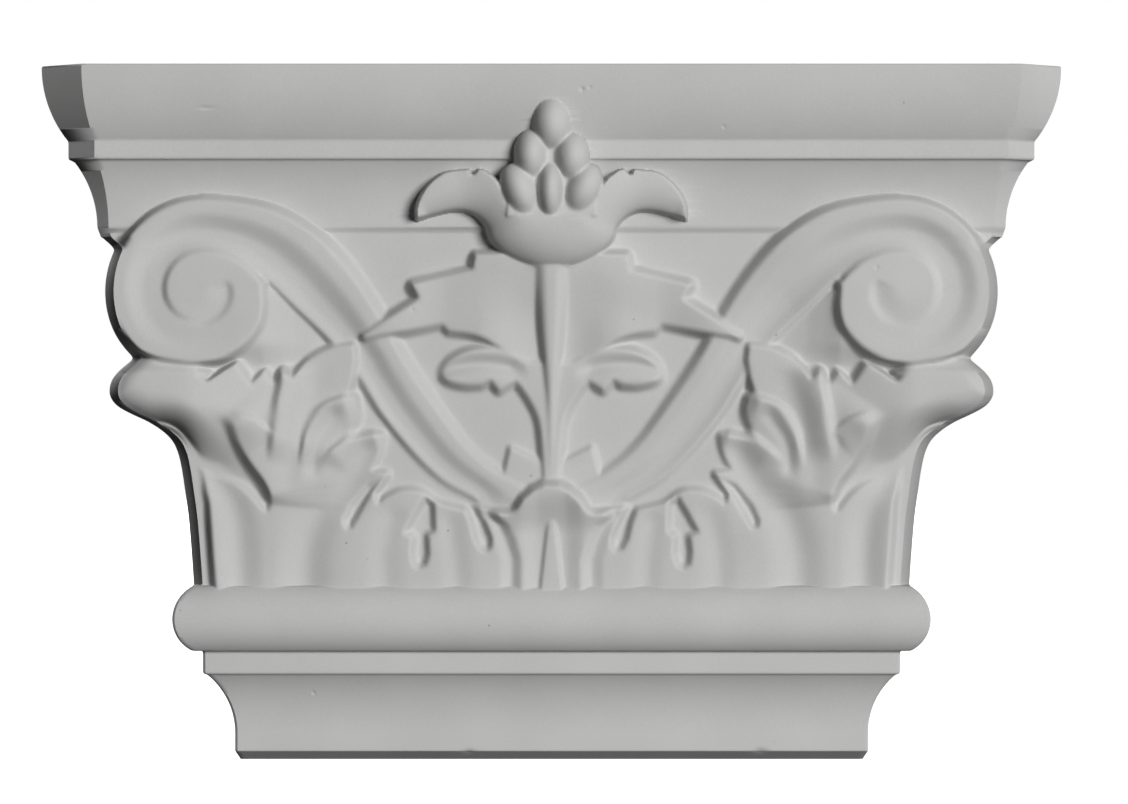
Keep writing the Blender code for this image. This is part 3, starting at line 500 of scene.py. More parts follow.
# %% [markdown]
# ## The leaf on the board
# Now the tools put the leaf together. Its face rises from the bell to the depth of the scroll where the
# tip rolls forward, and it falls away again round the rolled margin. After that first plate every form
# only adds to the height or takes from it, so their order is free, but the order of carving is easier
# to follow.

# %% Corner leaf
LEAF_LEVEL = 5.4  # height of the leaf over the bell


def corner_leaf(board):
    """The acanthus at the corner, with its rolled tip, its lobes and the openings between them."""

    def level(across, up, bell, inside):
        out = ease((up - 112.0) / 24.0) * ease((across - 92.0) / 46.0)
        rolled = SCROLL[2] - 0.5 - bell
        face = LEAF_LEVEL + (rolled - LEAF_LEVEL) * out + 2.2 * ease((up - 118.0) / 34.0) * (1.0 - out)
        face = face + 1.4 * ease((across - 104.0) / 22.0) * ease((108.0 - up) / 10.0)
        distance, _, _ = measured(across, up, CURL_MARGIN)
        distance = np.minimum(distance, 1.0 + np.maximum(np.interp(up, *CURL_SIDE.T) - across, 0.0))
        drop = face * rounding(distance, CURL_ROLL) / (0.94 * CURL_ROLL) * ease((up - 104.0) / 14.0)
        top = ease((up - 146.5) / 5.0) * ease((across - 118.0) / 10.0)
        return face - drop - 3.0 * top

    def wall(across, up):
        outer = ease((across - 122.0) / 4.0)
        return 3.4 + outer * (1.0 * ease((108.0 - up) / 6.0) - 1.0 * ease((up - 106.0) / 6.0))

    board.plate(LEAF_BODY, level, wall)
    board.dent(TAIL, lambda across, up: TAIL_DEPTH * (1.0 - ease((up - 104.0) / 20.0)), TAIL_WALL)
    for line, depth, width in FLUTES:
        board.furrow(bent(line), depth, width, ends=0.0)
    for line, depth, width in VEINS:
        board.furrow(bent(line), depth, width)
    for line, height, step_wall, reach in LOBE_STEPS:
        board.flap(bent(line), height, step_wall, reach, start=0.3)
    board.flap(bent(TAIL_INNER), 4.2, 4.4, 22.0, start=0.12, end=0.2)
    for opening in OPENINGS:
        board.dent(opening, OPENING_DEPTH, OPENING_WALL)


foot = Board(np.array([[100.0]]), np.array([[70.0]]))
corner_leaf(foot)
print("at its foot the leaf stands", round(float(foot.height[0, 0]), 1), "mm over the bell")

# %% [markdown]
# ## The calyx
# The stalk and both stems grow out of a small arched calyx at the foot of the bell. Its face is folded
# like an open book with a wedge of a rib in the fold, so its margins catch the light. Below the arch
# its sides are no plates but valleys, because the leaves beside it grow out of the same ground.

# %% Calyx
CALYX_ARCH = [
    (13.2, 93.5), (10.2, 98.6), (6.2, 102.2), (2.6, 104.2), (-6.0, 104.2), (-6.0, 60.0), (8.0, 60.0),
]
CALYX_RIB = [(0.6, 94.5), (-6.0, 94.5), (-6.0, 60.0), (4.6, 60.0)]
# Half width of the calyx by height, and the valley along that line
CALYX_SIDE = ([66.0, 76.6, 84.2, 89.8, 92.8, 97.0], [15.2, 15.0, 17.4, 20.0, 23.8, 25.0])
CALYX_VALLEY = 4.1
CALYX_WALL = 4.6
ARCH_WALL = 5.2
RIB_LEVEL, RIB_WALL = 6.3, 2.6


def calyx(board):
    """The arched calyx, with a wall round its arch, soft sides and a wedge rib."""

    def fold(across, up):
        return 4.6 + 2.1 * ease((across - 4.0) / 9.0) + 6.6 * ease((up - 86.0) / 18.0)

    board.plate(CALYX_ARCH, lambda across, up, bell, inside: fold(across, up), ARCH_WALL)
    out = board.across - np.interp(board.up, *CALYX_SIDE)
    top = np.where(out < 0.0, fold(board.across, board.up), board.height)
    grown = CALYX_VALLEY + (top - CALYX_VALLEY) * draft(np.abs(out), CALYX_WALL)
    board.height += (grown - board.height) * (out < CALYX_WALL) * ease((97.0 - board.up) / 4.0)
    board.plate(CALYX_RIB, RIB_LEVEL, RIB_WALL)


print("the arch of the calyx is", 2 * CALYX_ARCH[0][0], "mm wide and ends", CALYX_ARCH[3][1], "mm up")

# %% [markdown]
# ## The stalk and its leaves
# A stalk rises from the calyx and swells under the flower. Beside it stand two serrated leaves and two
# small leaflets that curl down. The saw teeth are straight runs between points, and only the curled
# edges are bent, so that the teeth keep their points.

# %% Leaf and leaflet outlines
CENTRE_LEAF = joined(
    [(69.9, 160.2), (63.6, 165.0), (48.6, 174.2), (51.4, 179.4), (40.0, 182.2), (29.1, 184.7)],
    [(27.9, 190.3)],
    [(11.8, 190.8), (-4.0, 190.8), (-4.0, 130.0), (5.0, 140.0), (11.0, 149.0)],
    bent([(17.0, 155.4), (20.4, 157.4), (24.9, 160.0), (30.6, 161.9), (38.2, 162.9)], 4),
    [(40.7, 165.6), (54.0, 163.0)],
)
LEAFLET = joined(
    bent([(17.0, 154.6), (24.0, 155.2), (30.6, 154.4), (36.6, 151.4), (40.2, 147.2), (38.6, 144.4),
          (32.4, 142.8), (26.5, 143.0)]),
    [(22.8, 145.0), (19.4, 141.0)],
    bent([(13.4, 144.8), (8.6, 138.4), (4.4, 130.0), (3.0, 120.0), (2.2, 106.0)], 4),
    [(-4.0, 106.0), (-4.0, 150.0), (8.0, 150.0)],
)
BUD_TIP = [(15.2, 118.4), (3.9, 113.0), (-4.0, 110.6), (-4.0, 100.0), (18.9, 100.0), (17.8, 107.4)]
print("the tips of the serrated leaves are", 2 * float(CENTRE_LEAF[:, 0].max()), "mm apart")

# %% [markdown]
# ## Stalk and leaves on the board
# The leaves are thin plates with a soft vein, hollow beside the stalk and lifted at their tips, where
# they lie over the stems. The stalk is a half round bar whose width and crest are tables by height. A
# plate with a rounded face could make the stalk too, but its edges would then lean like a leaf's.

# %% Stalk and leaves
LEAFLET_BOW = 0.012  # how strongly the hollow of a leaflet is arched
# Half width and crest of the stalk by height
STALK_HALF = ([100.0, 139.0, 160.0, 187.0, 200.0], [1.4, 2.2, 4.6, 7.2, 8.0])
STALK_CREST = ([100.0, 132.0, 150.0, 187.0], [5.0, 6.4, 8.4, 11.2])
BUD_LEVEL, BUD_WALL = 4.0, 2.6
LEAFLET_WALL, CENTRE_LEAF_WALL = 4.2, 4.0


def stalk_and_leaves(board):
    """Stalk, the two serrated leaves beside it, their curled leaflets and the small pointed tips."""
    board.plate(BUD_TIP, BUD_LEVEL, BUD_WALL)

    def beside_stalk(across, up):
        return 4.8 * ease((28.0 - across) / 23.0) * ease((190.0 - up) / 28.0)

    def leaflet(across, up, bell, inside):
        arched = LEAFLET_BOW * (across - 26.0) ** 2
        band = mound(up + arched, 150.2, 2.8) * ease((across - 8.0) / 8.0)
        return 7.0 - 2.6 * band - 0.3 * beside_stalk(across, up)

    def leaf(across, up, bell, inside):
        vein = mound(up - 0.36 * (40.0 - across), 165.0, 9.0) * ease((across - 6.0) / 16.0)
        face = 5.2 + 3.2 * clamp((64.3 - across) / 45.0) + 4.4 * ease((across - 38.0) / 26.0)
        return face - 1.0 * vein * ease((66.0 - across) / 26.0) - beside_stalk(across, up)

    board.plate(LEAFLET, leaflet, LEAFLET_WALL)
    board.plate(CENTRE_LEAF, leaf, CENTRE_LEAF_WALL)
    half = np.interp(board.up, *STALK_HALF)
    crest = np.interp(board.up, *STALK_CREST)
    round_side = clamp((board.across - 0.2 * half) / (0.8 * half + 0.6))
    bar = crest * np.sqrt(1.0 - round_side**2) * ease((board.up - 96.0) / 8.0) * (board.up < 200.0)
    board.height = higher(board.height, bar, 0.8)


print("the stalk swells from", 2 * STALK_HALF[1][0], "to", 2 * STALK_HALF[1][3], "mm under the flower")

# %% [markdown]
# ## The flower
# The flower stands in front of the abacus, so it reaches further out than anything else: a round cup,
# two curled petals and a cluster of berries. Cup and petals share one outline, and the notch where a
# petal folds is a point pulled in between two bent runs.

# %% Petals
PETAL_EDGE = bent(
    [(-6.5, 185.7), (0.0, 185.4), (6.5, 186.0), (13.5, 188.4), (19.6, 192.0), (23.4, 196.4),
     (25.2, 201.2), (28.8, 204.8), (33.2, 206.4), (38.5, 206.2), (45.0, 204.6)]
)
PETALS = joined(
    bent([(51.0, 202.6), (51.3, 208.0), (49.2, 213.8), (44.8, 218.8), (39.0, 222.3), (30.0, 223.2)]),
    [(29.2, 221.2), (27.4, 223.4)],
    bent([(24.5, 222.8), (19.0, 218.0), (15.0, 208.0)], 4),
    [(11.0, 205.8), (-12.0, 205.8), (-12.0, 185.6)],
    PETAL_EDGE,
)
print("the petals are", round(2 * float(PETALS[:, 0].max()), 1), "mm across")

# %% [markdown]
# ## The berries
# Every berry is half an egg, given by its place, its size, its lean and the depth of its crown. They
# are fused on the real piece, and a flat core fills the gaps between them. Six scaled spheres joined by
# a boolean would do as well, but not run into the cup as softly.

# %% Berries
# Each berry: across, up, half width, half height, lean in degrees and depth of its crown from the wall
BERRIES = (
    (0.0, 239.8, 8.0, 10.8, 0, 111.7),
    (-7.7, 228.0, 6.6, 9.6, 0, 110.0),
    (7.6, 227.0, 7.0, 9.4, 0, 110.0),
    (-11.8, 215.0, 6.8, 10.4, -22, 109.0),
    (11.8, 215.4, 6.8, 10.0, 26, 109.0),
    (-0.4, 214.8, 5.4, 10.8, 0, 110.4),
)
BERRY_ROOT = 97.0  # depth at which the berries spring from the core
BERRY_BLEND = 2.2
BERRY_CORE = [
    (-4.0, 203.0), (18.5, 203.0), (18.0, 212.0), (14.0, 218.0), (9.0, 229.0), (3.5, 238.0),
    (-4.0, 240.0),
]
BERRY_CORE_DEPTH, BERRY_CORE_WALL = 103.0, 4.0


def berry(board, across, up, half_width, half_height, lean, top):
    """A berry that leans by some degrees. Its skin rises to a depth measured from the wall."""
    turn = math.radians(lean)
    x = (board.signed - across) * math.cos(turn) - (board.up - up) * math.sin(turn)
    z = (board.signed - across) * math.sin(turn) + (board.up - up) * math.cos(turn)
    out = (x / half_width) ** 2 + (z / half_height) ** 2
    skin = BERRY_ROOT + (top - BERRY_ROOT) * np.sqrt(clamp(1.0 - out))
    board.height = higher(board.height, np.where(out < 1.0, skin - board.bell, 0.0), BERRY_BLEND)


print(len(BERRIES), "berries, the foremost", max(each[-1] for each in BERRIES), "mm from the wall")

# %% [markdown]
# ## Flower on the board
# The berries go on first and the petals after them, so that the cup lies in front of the cluster. The
# petals roll back towards their lower edge like the lip of a cup, which gives them their soft shadow.

# %% Flower
PETAL_LIP = (0.7, 2.4)  # depth and width of the rounded edge of a petal


def flower(board):
    """Two curled petals, the cup and a cluster of berries, which stand over the abacus."""

    def petals(across, up, bell, inside):
        cup = ease((36.0 - across) / 26.0)
        crown = 99.0 + 5.0 * cup
        edge = 91.0 - 3.5 * cup
        below, _, _ = measured(across, up, PETAL_EDGE)
        turned = clamp(1.0 - below / (11.0 + 7.0 * cup))
        rolled = (crown - edge) * (1.0 - np.sqrt(1.0 - turned**2))
        return crown - rolled - PETAL_LIP[0] * rounding(inside, PETAL_LIP[1]) - bell

    def petal_wall(across, up):
        return 0.9 + 0.6 * ease((across - 44.0) / 5.0)

    def core(across, up, bell, inside):
        return BERRY_CORE_DEPTH - bell

    board.plate(BERRY_CORE, core, BERRY_CORE_WALL, foot=0.5)
    for each in BERRIES:
        berry(board, *each)
    board.plate(PETALS, petals, petal_wall, foot=0.1)


bloom = Board(np.array([[0.0]]), np.array([[195.0]]))
flower(bloom)
print("the cup stands", round(float((bloom.bell + bloom.height)[0, 0]), 1), "mm from the wall")

# %% [markdown]
# ## All the carving
# The forms go on from the back to the front, as they overlap on the real piece. Then the heights are
# blended with their neighbours a few times, as a brush with water takes the last sharp lines off a
# cast. The flower is crisper on the real piece, so it is blended only once.

# %% Carving
WASHES = 4
CRISP_ABOVE, CRISP_WITHIN = 186.5, 54.0  # the zone of the flower: up from here, and this far across


def washed(values, times, axes=(0, 1)):
    """Values after each spot has been blended with its neighbours a few times."""
    for _ in range(times):
        for axis in axes:
            values = (np.roll(values, 1, axis) + 2.0 * values + np.roll(values, -1, axis)) / 4.0
    return values


def carving(across, up):
    """Heights over the bell of everything that is carved there, and the bell's own depth."""
    board = Board(across, up)
    stem(board)
    scroll(board)
    corner_leaf(board)
    calyx(board)
    stalk_and_leaves(board)
    flower(board)
    worn = washed(board.height, WASHES)
    crisp = (up > CRISP_ABOVE) & (np.abs(across) < CRISP_WITHIN)
    return np.where(crisp, washed(board.height, 1), worn), board.bell


spike = washed(np.eye(9)[4], WASHES, axes=(0,))
print("after", WASHES, "washes a spike is", round(float(spike[4]), 2), "of its height")

# %% [markdown]
# ## The mouldings
# A plasterer runs mouldings with a cut metal profile. Here the profile is a list of rows from the
# underside up: a straight neck, a cove, a fillet and the round astragal, then the bell, and then the
# abacus with its cove, fillet and ovolo. Each curve is an arc of a circle that starts upright. The
# profile could also be swept along a path, but the bell between the mouldings needs an outline of its
# own at each height.

# %% Sizes of the mouldings
HEIGHT = 261.0
SHAFT = (120.0, 60.0)  # half width and depth of the shaft
ABACUS = (170.0, 88.0, 4.6)  # half width, depth and corner cut
# The base from the underside up
UNDERSIDE_BACK = (1.5, 9.0)  # how far the underside's edge runs in and back
NECK_BOTTOM, NECK_TOP = 3.7, 10.5
NECK_COVE = (22.7, 10.0)  # height and reach
BASE_FILLET = (33.4, 42.2, 11.4)  # from, to and reach
ASTRAGAL_HALF, ASTRAGAL_REACH, ASTRAGAL_TURN = 12.25, 22.2, 60
# The abacus from the bell up
TOP_COVE_BOTTOM, TOP_COVE = 201.1, (24.8, 8.5)
TOP_FILLET = (226.2, 233.4, 10.4)
OVOLO, OVOLO_REACH = (26.8, 9.1), 20.0
TOP_ARRIS = 0.5  # the ovolo's upper edge is worn back by this much
# Corners
BASE_CORNER_CUT = 1.0
BELL_CORNER_CUT = 4.2
CORNER_FALL = 2.8  # how much deeper than wide the bell's corner is cut
CUT_GROWTH = 2.0 - math.sqrt(2.0)  # how a corner cut grows as a moulding comes out
SCROLL_SIDE_RADIUS = 36.3
print("the piece is", 2 * (ABACUS[0] + OVOLO_REACH), "mm wide and", HEIGHT, "mm high")

# %% [markdown]
# ## The bell's outline
# Seen from the front, the bell's outline at each height is the widest of three things: the rolled leaf
# tip, the drum behind the scroll, and the flare under the abacus. Leaf and drum run into each other
# softly. Three solids and a boolean would give the same outline, but with hard lines between them.

# %% Bell outline
FLARE_BOTTOM, FLARE_SLOPE = 190.0, 1.2


def bell_side(up):
    """Half width of the leaf tip, the scroll and the bell behind them."""
    curl = np.interp(up, CURL_SIDE[:, 0], CURL_SIDE[:, 1], right=0.0)
    reach = np.maximum(SCROLL_SIDE_RADIUS**2 - (up - SCROLL[1]) ** 2, 0.0)
    drum = np.where(reach > 0.0, SCROLL[0] + np.sqrt(reach), 0.0)
    flare = np.where(up > FLARE_BOTTOM, ABACUS[0] - FLARE_SLOPE * (BELL_TOP + 0.8 - up), 0.0)
    return np.maximum(higher(curl, drum, 1.0), flare)


print("beside the scroll's middle the bell is", round(float(bell_side(SCROLL[1])), 1), "mm half wide")

# %% [markdown]
# ## The profile
# From the underside up, each moulding adds its corner points to one list: height, half width, depth and
# corner cut. Coves and ovolo are arcs that start upright, so one helper gives the heights and reaches
# along them, and the ovolo is the same arc upside down.

# %% Profile of the mouldings
def hollow(height, out, count):
    """Heights and reaches of an arc that starts upright and leans out."""
    end = 2.0 * math.atan2(out, height)
    radius = height / math.sin(end)
    turns = [end * i / (count - 1) for i in range(count)]
    return [(radius * math.sin(turn), radius * (1.0 - math.cos(turn))) for turn in turns]


def outline_of_mouldings():
    """Corner points of the profile: height, half width, depth and corner cut."""
    rows = []

    def base(z, out):
        rows.append((z, SHAFT[0] + out, SHAFT[1] + out, BASE_CORNER_CUT))

    def top(z, out):
        rows.append((z, ABACUS[0] + out, ABACUS[1] + out, ABACUS[2] + CUT_GROWTH * out))

    in_back = SHAFT[0] - UNDERSIDE_BACK[0], SHAFT[1] - UNDERSIDE_BACK[1]
    rows.append((0.0, *in_back, BASE_CORNER_CUT))
    base(NECK_BOTTOM, 0.0)
    for rise, out in hollow(*NECK_COVE, 24):
        base(NECK_TOP + rise, out)
    base(BASE_FILLET[0], BASE_FILLET[2])
    base(BASE_FILLET[1], BASE_FILLET[2])
    radius = ASTRAGAL_HALF / math.sin(math.radians(ASTRAGAL_TURN))
    middle = BASE_FILLET[1] + ASTRAGAL_HALF
    for degrees in range(-ASTRAGAL_TURN, ASTRAGAL_TURN + 1, 3):
        turn = math.radians(degrees)
        base(middle + radius * math.sin(turn), ASTRAGAL_REACH - radius * (1.0 - math.cos(turn)))
    for z in np.arange(BELL_BOTTOM + 0.3, BELL_TOP + 0.1, 0.5):
        deep = np.interp(z, (BELL_BOTTOM, BELL_TOP), BELL_DEPTHS)
        rows.append((z, float(bell_side(z)), deep, BELL_CORNER_CUT))
    for rise, out in hollow(*TOP_COVE, 45):
        top(TOP_COVE_BOTTOM + rise, out)
    top(TOP_FILLET[0], TOP_FILLET[2])
    top(TOP_FILLET[1], TOP_FILLET[2])
    for fall, back in reversed(hollow(*OVOLO, 46)):
        top(HEIGHT - TOP_ARRIS - fall, OVOLO_REACH - back)
    top(HEIGHT, OVOLO_REACH - TOP_ARRIS)
    return np.array(rows)


print("the profile has", len(outline_of_mouldings()), "corner points")

# %% [markdown]
# ## Rows of the sheet
# The corner points lie close on the curves and far apart on the fillets. Even rows make better faces,
# so the profile is divided again at one pitch, and its arrises are worn a little. Only the rows at the
# underside and the top keep theirs, so that the cut faces stay flat.

# %% Even rows
MM = 0.001
ROW_PITCH = 0.5
ARRIS_WASHES = 3
SHARP_ROWS, SHARP_TOP_ROWS = 24, 3  # rows at the underside and the top that keep their arris


def evenly(rows, pitch):
    """The same profile in rows of an even pitch, with its arrises worn a little round."""
    steps = np.hypot(np.diff(rows[:, 0]), np.diff(rows[:, 2]))
    along = np.concatenate([[0.0], np.cumsum(steps)])
    marks = np.linspace(0.0, along[-1], round(along[-1] / pitch))
    even = np.stack([np.interp(marks, along, values) for values in rows.T], axis=1)
    worn = washed(even, ARRIS_WASHES, axes=(0,))
    worn[:SHARP_ROWS] = even[:SHARP_ROWS]
    worn[-SHARP_TOP_ROWS:] = even[-SHARP_TOP_ROWS:]
    return worn


profile = evenly(outline_of_mouldings(), ROW_PITCH)
print(len(profile), "rows from", profile[0, 0], "to", profile[-1, 0], "mm")

# %% [markdown]
# ## The sides
# The corner leaf is folded round the corner: its other half lies on the side, under the drum of the
# scroll. The same leaf is drawn once more on a board for the side. Here it is cut into the side instead
# of standing out, because the front's outline already takes in its full width. Above it the drum is a
# little narrower halfway to the wall, like a bolster.

# %% Sides
FOLD_ACROSS, FOLD_DEPTH = 168.0, 99.6  # the spot of the board that lies on the corner, and its depth
DRUM_BOTTOM = 152.0
DRUM_WAIST = 5.0  # how much narrower the drum is halfway to the wall
SIDE_RISE = (3.2, 6.8)  # the height on the board that lies level with the side grows by these upwards


def side_of(z, half, flat, columns):
    """Places along one side: the folded half of the corner leaf, and the drum of the scroll."""
    out = np.linspace(1.0, 0.0, columns)[None, :] * flat
    relief = Board(FOLD_ACROSS - (FOLD_DEPTH - out), z + 0.0 * out)
    corner_leaf(relief)
    rim = LEAF_LEVEL + SIDE_RISE[0] * ease((z - 84.0) / 16.0) + SIDE_RISE[1] * ease((z - 112.0) / 22.0)
    sunk = higher(rim - washed(relief.height, WASHES), 0.0, 2.0) * ease((flat - out) / 8.0)
    waist = DRUM_WAIST * np.sin(math.pi * clamp(((flat - out) / flat - 0.12) / 0.88)) ** 2
    drum = ease((z - DRUM_BOTTOM) / 4.0)
    carved = (z >= BELL_BOTTOM) & (z <= BELL_TOP)
    return half - (sunk * (1.0 - drum) + waist * drum) * carved, out


print("the side meets the wall", round(FOLD_ACROSS - FOLD_DEPTH, 1), "mm across on the board")

# %% [markdown]
# ## Pits and chips
# A few bubbles stayed at the surface of the mould, and two spots at the lower edge are chipped. They
# are real dents, so they show from every side. The finest pinholes follow later in the material.

# %% Pits and chips
# Each flaw: across, up, half width, half height and depth
FLAWS = (
    (11.3, 251.6, 0.8, 0.7, 0.7), (14.2, 252.3, 0.6, 0.5, 0.5), (-128.0, 244.8, 2.6, 0.5, 0.4),
    (79.0, 3.6, 2.4, 1.0, 0.8), (-31.5, 3.4, 2.0, 0.9, 0.7), (64.0, 238.0, 0.5, 0.5, 0.5),
    (-52.0, 170.4, 0.6, 0.6, 0.5), (121.0, 186.0, 0.6, 0.5, 0.5), (-90.0, 26.0, 0.6, 0.6, 0.5),
)


def flaws(across, up):
    """How far the skin is sunk by pits and chips."""
    return sum(
        depth * np.exp(-(((across - x) / wide) ** 2) - ((up - z) / tall) ** 2)
        for x, z, wide, tall, depth in FLAWS
    )


print(len(FLAWS), "pits and chips, the deepest", max(each[-1] for each in FLAWS), "mm")

# %% [markdown]
# ## The casting
# The body is one sheet, wrapped round the left side, the front and the right side, like paper round a
# box. Each row of the sheet is one line of the profile, and the carving pushes the front out. One sheet
# has no seams between leaf and bell, as a casting has none. Separate pieces pushed into each other
# would be quicker to shape, but they would show hard creases where they meet.

# %% Wrapped sheet
LEAF_FOOT = 60.5  # the carving starts here, behind the astragal
FRONT_COLUMNS, CORNER_COLUMNS, SIDE_COLUMNS = 681, 15, 151


def wrapped(columns, cut_columns, side_columns):
    """Places of the sheet, one row for each row of the profile, from the left wall to the right wall."""
    z, half, deep, cut = profile.T[:, :, None]
    across = np.linspace(-1.0, 1.0, columns)[None, :] * (half - cut)
    height, bell = carving(across, z + 0.0 * across)
    carved = np.where((height > 0.02) & (z > LEAF_FOOT), bell + height, 0.0)
    front = higher(deep, carved, 0.5) - flaws(across, z)
    edge = front[:, -1:]
    fall = cut * np.where((z > BELL_BOTTOM) & (z < BELL_TOP), CORNER_FALL, 1.0)
    side, out = side_of(z, half, edge - fall, side_columns)
    turn = np.linspace(0.0, 1.0, cut_columns)[None, 1:-1]
    right_x = np.hstack([half - cut * (1.0 - turn), side])
    right_y = np.hstack([edge - fall * turn, out])
    x = np.hstack([-right_x[:, ::-1], across, right_x])
    out = np.hstack([right_y[:, ::-1], front, right_y])
    carved = (z > BELL_BOTTOM) & (z < BELL_TOP + 4.0) & (out > 0.5) | (out > deep + 0.3)
    return np.stack([x, SHAFT[1] / 2 - out, z + 0.0 * x], axis=-1) * MM, carved


places, carved = wrapped(FRONT_COLUMNS, CORNER_COLUMNS, SIDE_COLUMNS)
rows, columns = carved.shape
print("the sheet has", rows, "rows of", columns, "points")

# %% [markdown]
# ## Closing the casting
# create_grid makes all the faces of the sheet in order, and each of its points then moves to its own
# place. One face closes the underside and one the top, and holes_fill puts in the flat back, which on
# the real piece is scraped level. On the plain mouldings most upright edges are dissolved again, since
# a straight fillet needs few. A vertex group marks the carved places for the next step.

# %% Close the casting
KEPT_COLUMN = 24  # every so many columns one stays, to keep long faces from bending
FLAT = 0.0003  # radians between two faces that lie in one plane

bm = bmesh.new()
bmesh.ops.create_grid(bm, x_segments=columns - 1, y_segments=rows - 1, size=0.5)
weights = bm.verts.layers.deform.verify()
for vert, point, is_carved in zip(bm.verts, places.reshape(-1, 3), carved.ravel().tolist()):
    vert.co = point
    vert[weights][0] = float(is_carved)
bm.verts.ensure_lookup_table()
for first in (0, (rows - 1) * columns):
    bm.faces.new([bm.verts[first + i] for i in range(columns)])
bmesh.ops.holes_fill(bm, edges=[e for e in bm.edges if e.is_boundary])
bmesh.ops.recalc_face_normals(bm, faces=bm.faces)
upright = [e for e in bm.edges if abs(e.verts[0].co.z - e.verts[1].co.z) > 0.1 * MM]
plain = [
    e for e in upright
    if e.verts[0].index % columns % KEPT_COLUMN and e.calc_face_angle() < FLAT
]
bmesh.ops.dissolve_edges(bm, edges=plain, use_verts=True)
mesh = bpy.data.meshes.new("capital_casting")
bm.to_mesh(mesh)
bm.free()
casting = bpy.data.objects.new("capital_casting", mesh)
bpy.context.scene.collection.objects.link(casting)
print("faces before thinning:", len(mesh.polygons))

# %% [markdown]
# ## Thinning
# A plain face of the bell has as many points now as the edge of a leaf. A Decimate modifier takes
# triangles away where the surface hardly bends. It keeps to the vertex group, so the mouldings stay
# straight. A coarser grid would be simpler, but the lobes would lose their edges. Corners sharper than
# a set angle stay sharp in the shading.

# %% Thin it
TRIANGLES = 190000
SHARP = math.radians(38)

thin = casting.modifiers.new("thin", "DECIMATE")
thin.vertex_group = casting.vertex_groups.new(name="carved").name
thin.ratio = TRIANGLES / sum(len(p.vertices) - 2 for p in mesh.polygons)
scene_graph = bpy.context.evaluated_depsgraph_get()
thinned = bpy.data.meshes.new_from_object(casting.evaluated_get(scene_graph))
casting.modifiers.clear()
casting.data = thinned
bpy.data.meshes.remove(mesh)
thinned.name = "capital_casting"
thinned.shade_smooth()
thinned.set_sharp_from_angle(angle=SHARP)
print("triangles:", sum(len(p.vertices) - 2 for p in thinned.polygons))

# %% [markdown]
# ## Plaster
# Casting plaster dries to a matt light grey. It is never quite even: water leaves faint clouds in it,
# the skin has a fine grain, and air bubbles leave pinholes. Each of these is a texture of its own on
# the object's coordinates, so it stays in place when the piece turns. An image texture would be
# quicker, but it can't be used at any size. Three small helpers wire the nodes, so that the lines below
# read like a recipe.

# %% Plaster nodes
plaster = bpy.data.materials.new("plaster")
plaster.use_nodes = True
nodes, links = plaster.node_tree.nodes, plaster.node_tree.links
place = nodes.new("ShaderNodeTexCoord").outputs["Object"]


def texture(kind, scale, **inputs):
    """A texture node on the object's own coordinates, which are in metres."""
    node = nodes.new(kind)
    links.new(place, node.inputs["Vector"])
    node.inputs["Scale"].default_value = scale
    for name, value in inputs.items():
        node.inputs[name].default_value = value
    return node


def ranged(value, low, high, to_low, to_high):
    """The value, moved from one range to another."""
    node = nodes.new("ShaderNodeMapRange")
    links.new(value, node.inputs["Value"])
    for name, number in zip(("From Min", "From Max", "To Min", "To Max"), (low, high, to_low, to_high)):
        node.inputs[name].default_value = number
    return node.outputs["Result"]


def combined(kind, a, b):
    """One value made of two."""
    node = nodes.new("ShaderNodeMath")
    node.operation = kind
    links.new(a, node.inputs[0])
    links.new(b, node.inputs[1])
    return node.outputs["Value"]


clouds = texture("ShaderNodeTexNoise", 28.0, Detail=3.0, Roughness=0.5).outputs["Fac"]
grain = texture("ShaderNodeTexNoise", 1500.0, Detail=2.0, Roughness=0.6).outputs["Fac"]
bubbles = texture("ShaderNodeTexVoronoi", 130.0, Randomness=1.0)
print("textures:", [node.name for node in nodes if "Texture" in node.name])

# %% [markdown]
# ## Colour
# Clouds and grain together choose a grey between two close ones. Every cell of the bubble texture has a
# colour of its own, and only the few cells with a high red value get a pinhole at their middle, so
# pinholes stay rare. Each pinhole is painted a darker grey: painted shade, standing in for the shadow
# inside the hole. Plain noise with a threshold could make holes too, but they would have ragged
# shapes. The sockets of a Mix node share their names between numbers and colours, so they are picked by
# number: 0 is the factor, 6 and 7 are the colours.

# %% Plaster colour
DARK_GREY, LIGHT_GREY = (0.480, 0.480, 0.476, 1.0), (0.566, 0.566, 0.562, 1.0)
# Painted shade: the darker grey that the pinholes get, standing in for the shadow inside them
PINHOLE_SHADE_GREY = (0.36, 0.36, 0.355, 1.0)
FACTOR, FIRST, SECOND, MIXED = 0, 6, 7, 2  # sockets of a Mix node for colours; the last is its output

lightness = combined("ADD", ranged(clouds, 0.3, 0.7, 0.0, 0.4), ranged(grain, 0.2, 0.8, 0.0, 0.6))
tint = nodes.new("ShaderNodeMix")
tint.data_type = "RGBA"
tint.inputs[FIRST].default_value = DARK_GREY
tint.inputs[SECOND].default_value = LIGHT_GREY
links.new(lightness, tint.inputs[FACTOR])
cell_colour = nodes.new("ShaderNodeSeparateColor")
links.new(bubbles.outputs["Color"], cell_colour.inputs["Color"])
is_rare = ranged(cell_colour.outputs["Red"], 0.90, 0.92, 0.0, 1.0)
# Pinhole mask: a small real dent in the bump, and painted shade in the colour
pinhole_dent_and_shade = combined("MULTIPLY", ranged(bubbles.outputs["Distance"], 0.045, 0.075, 1.0, 0.0), is_rare)
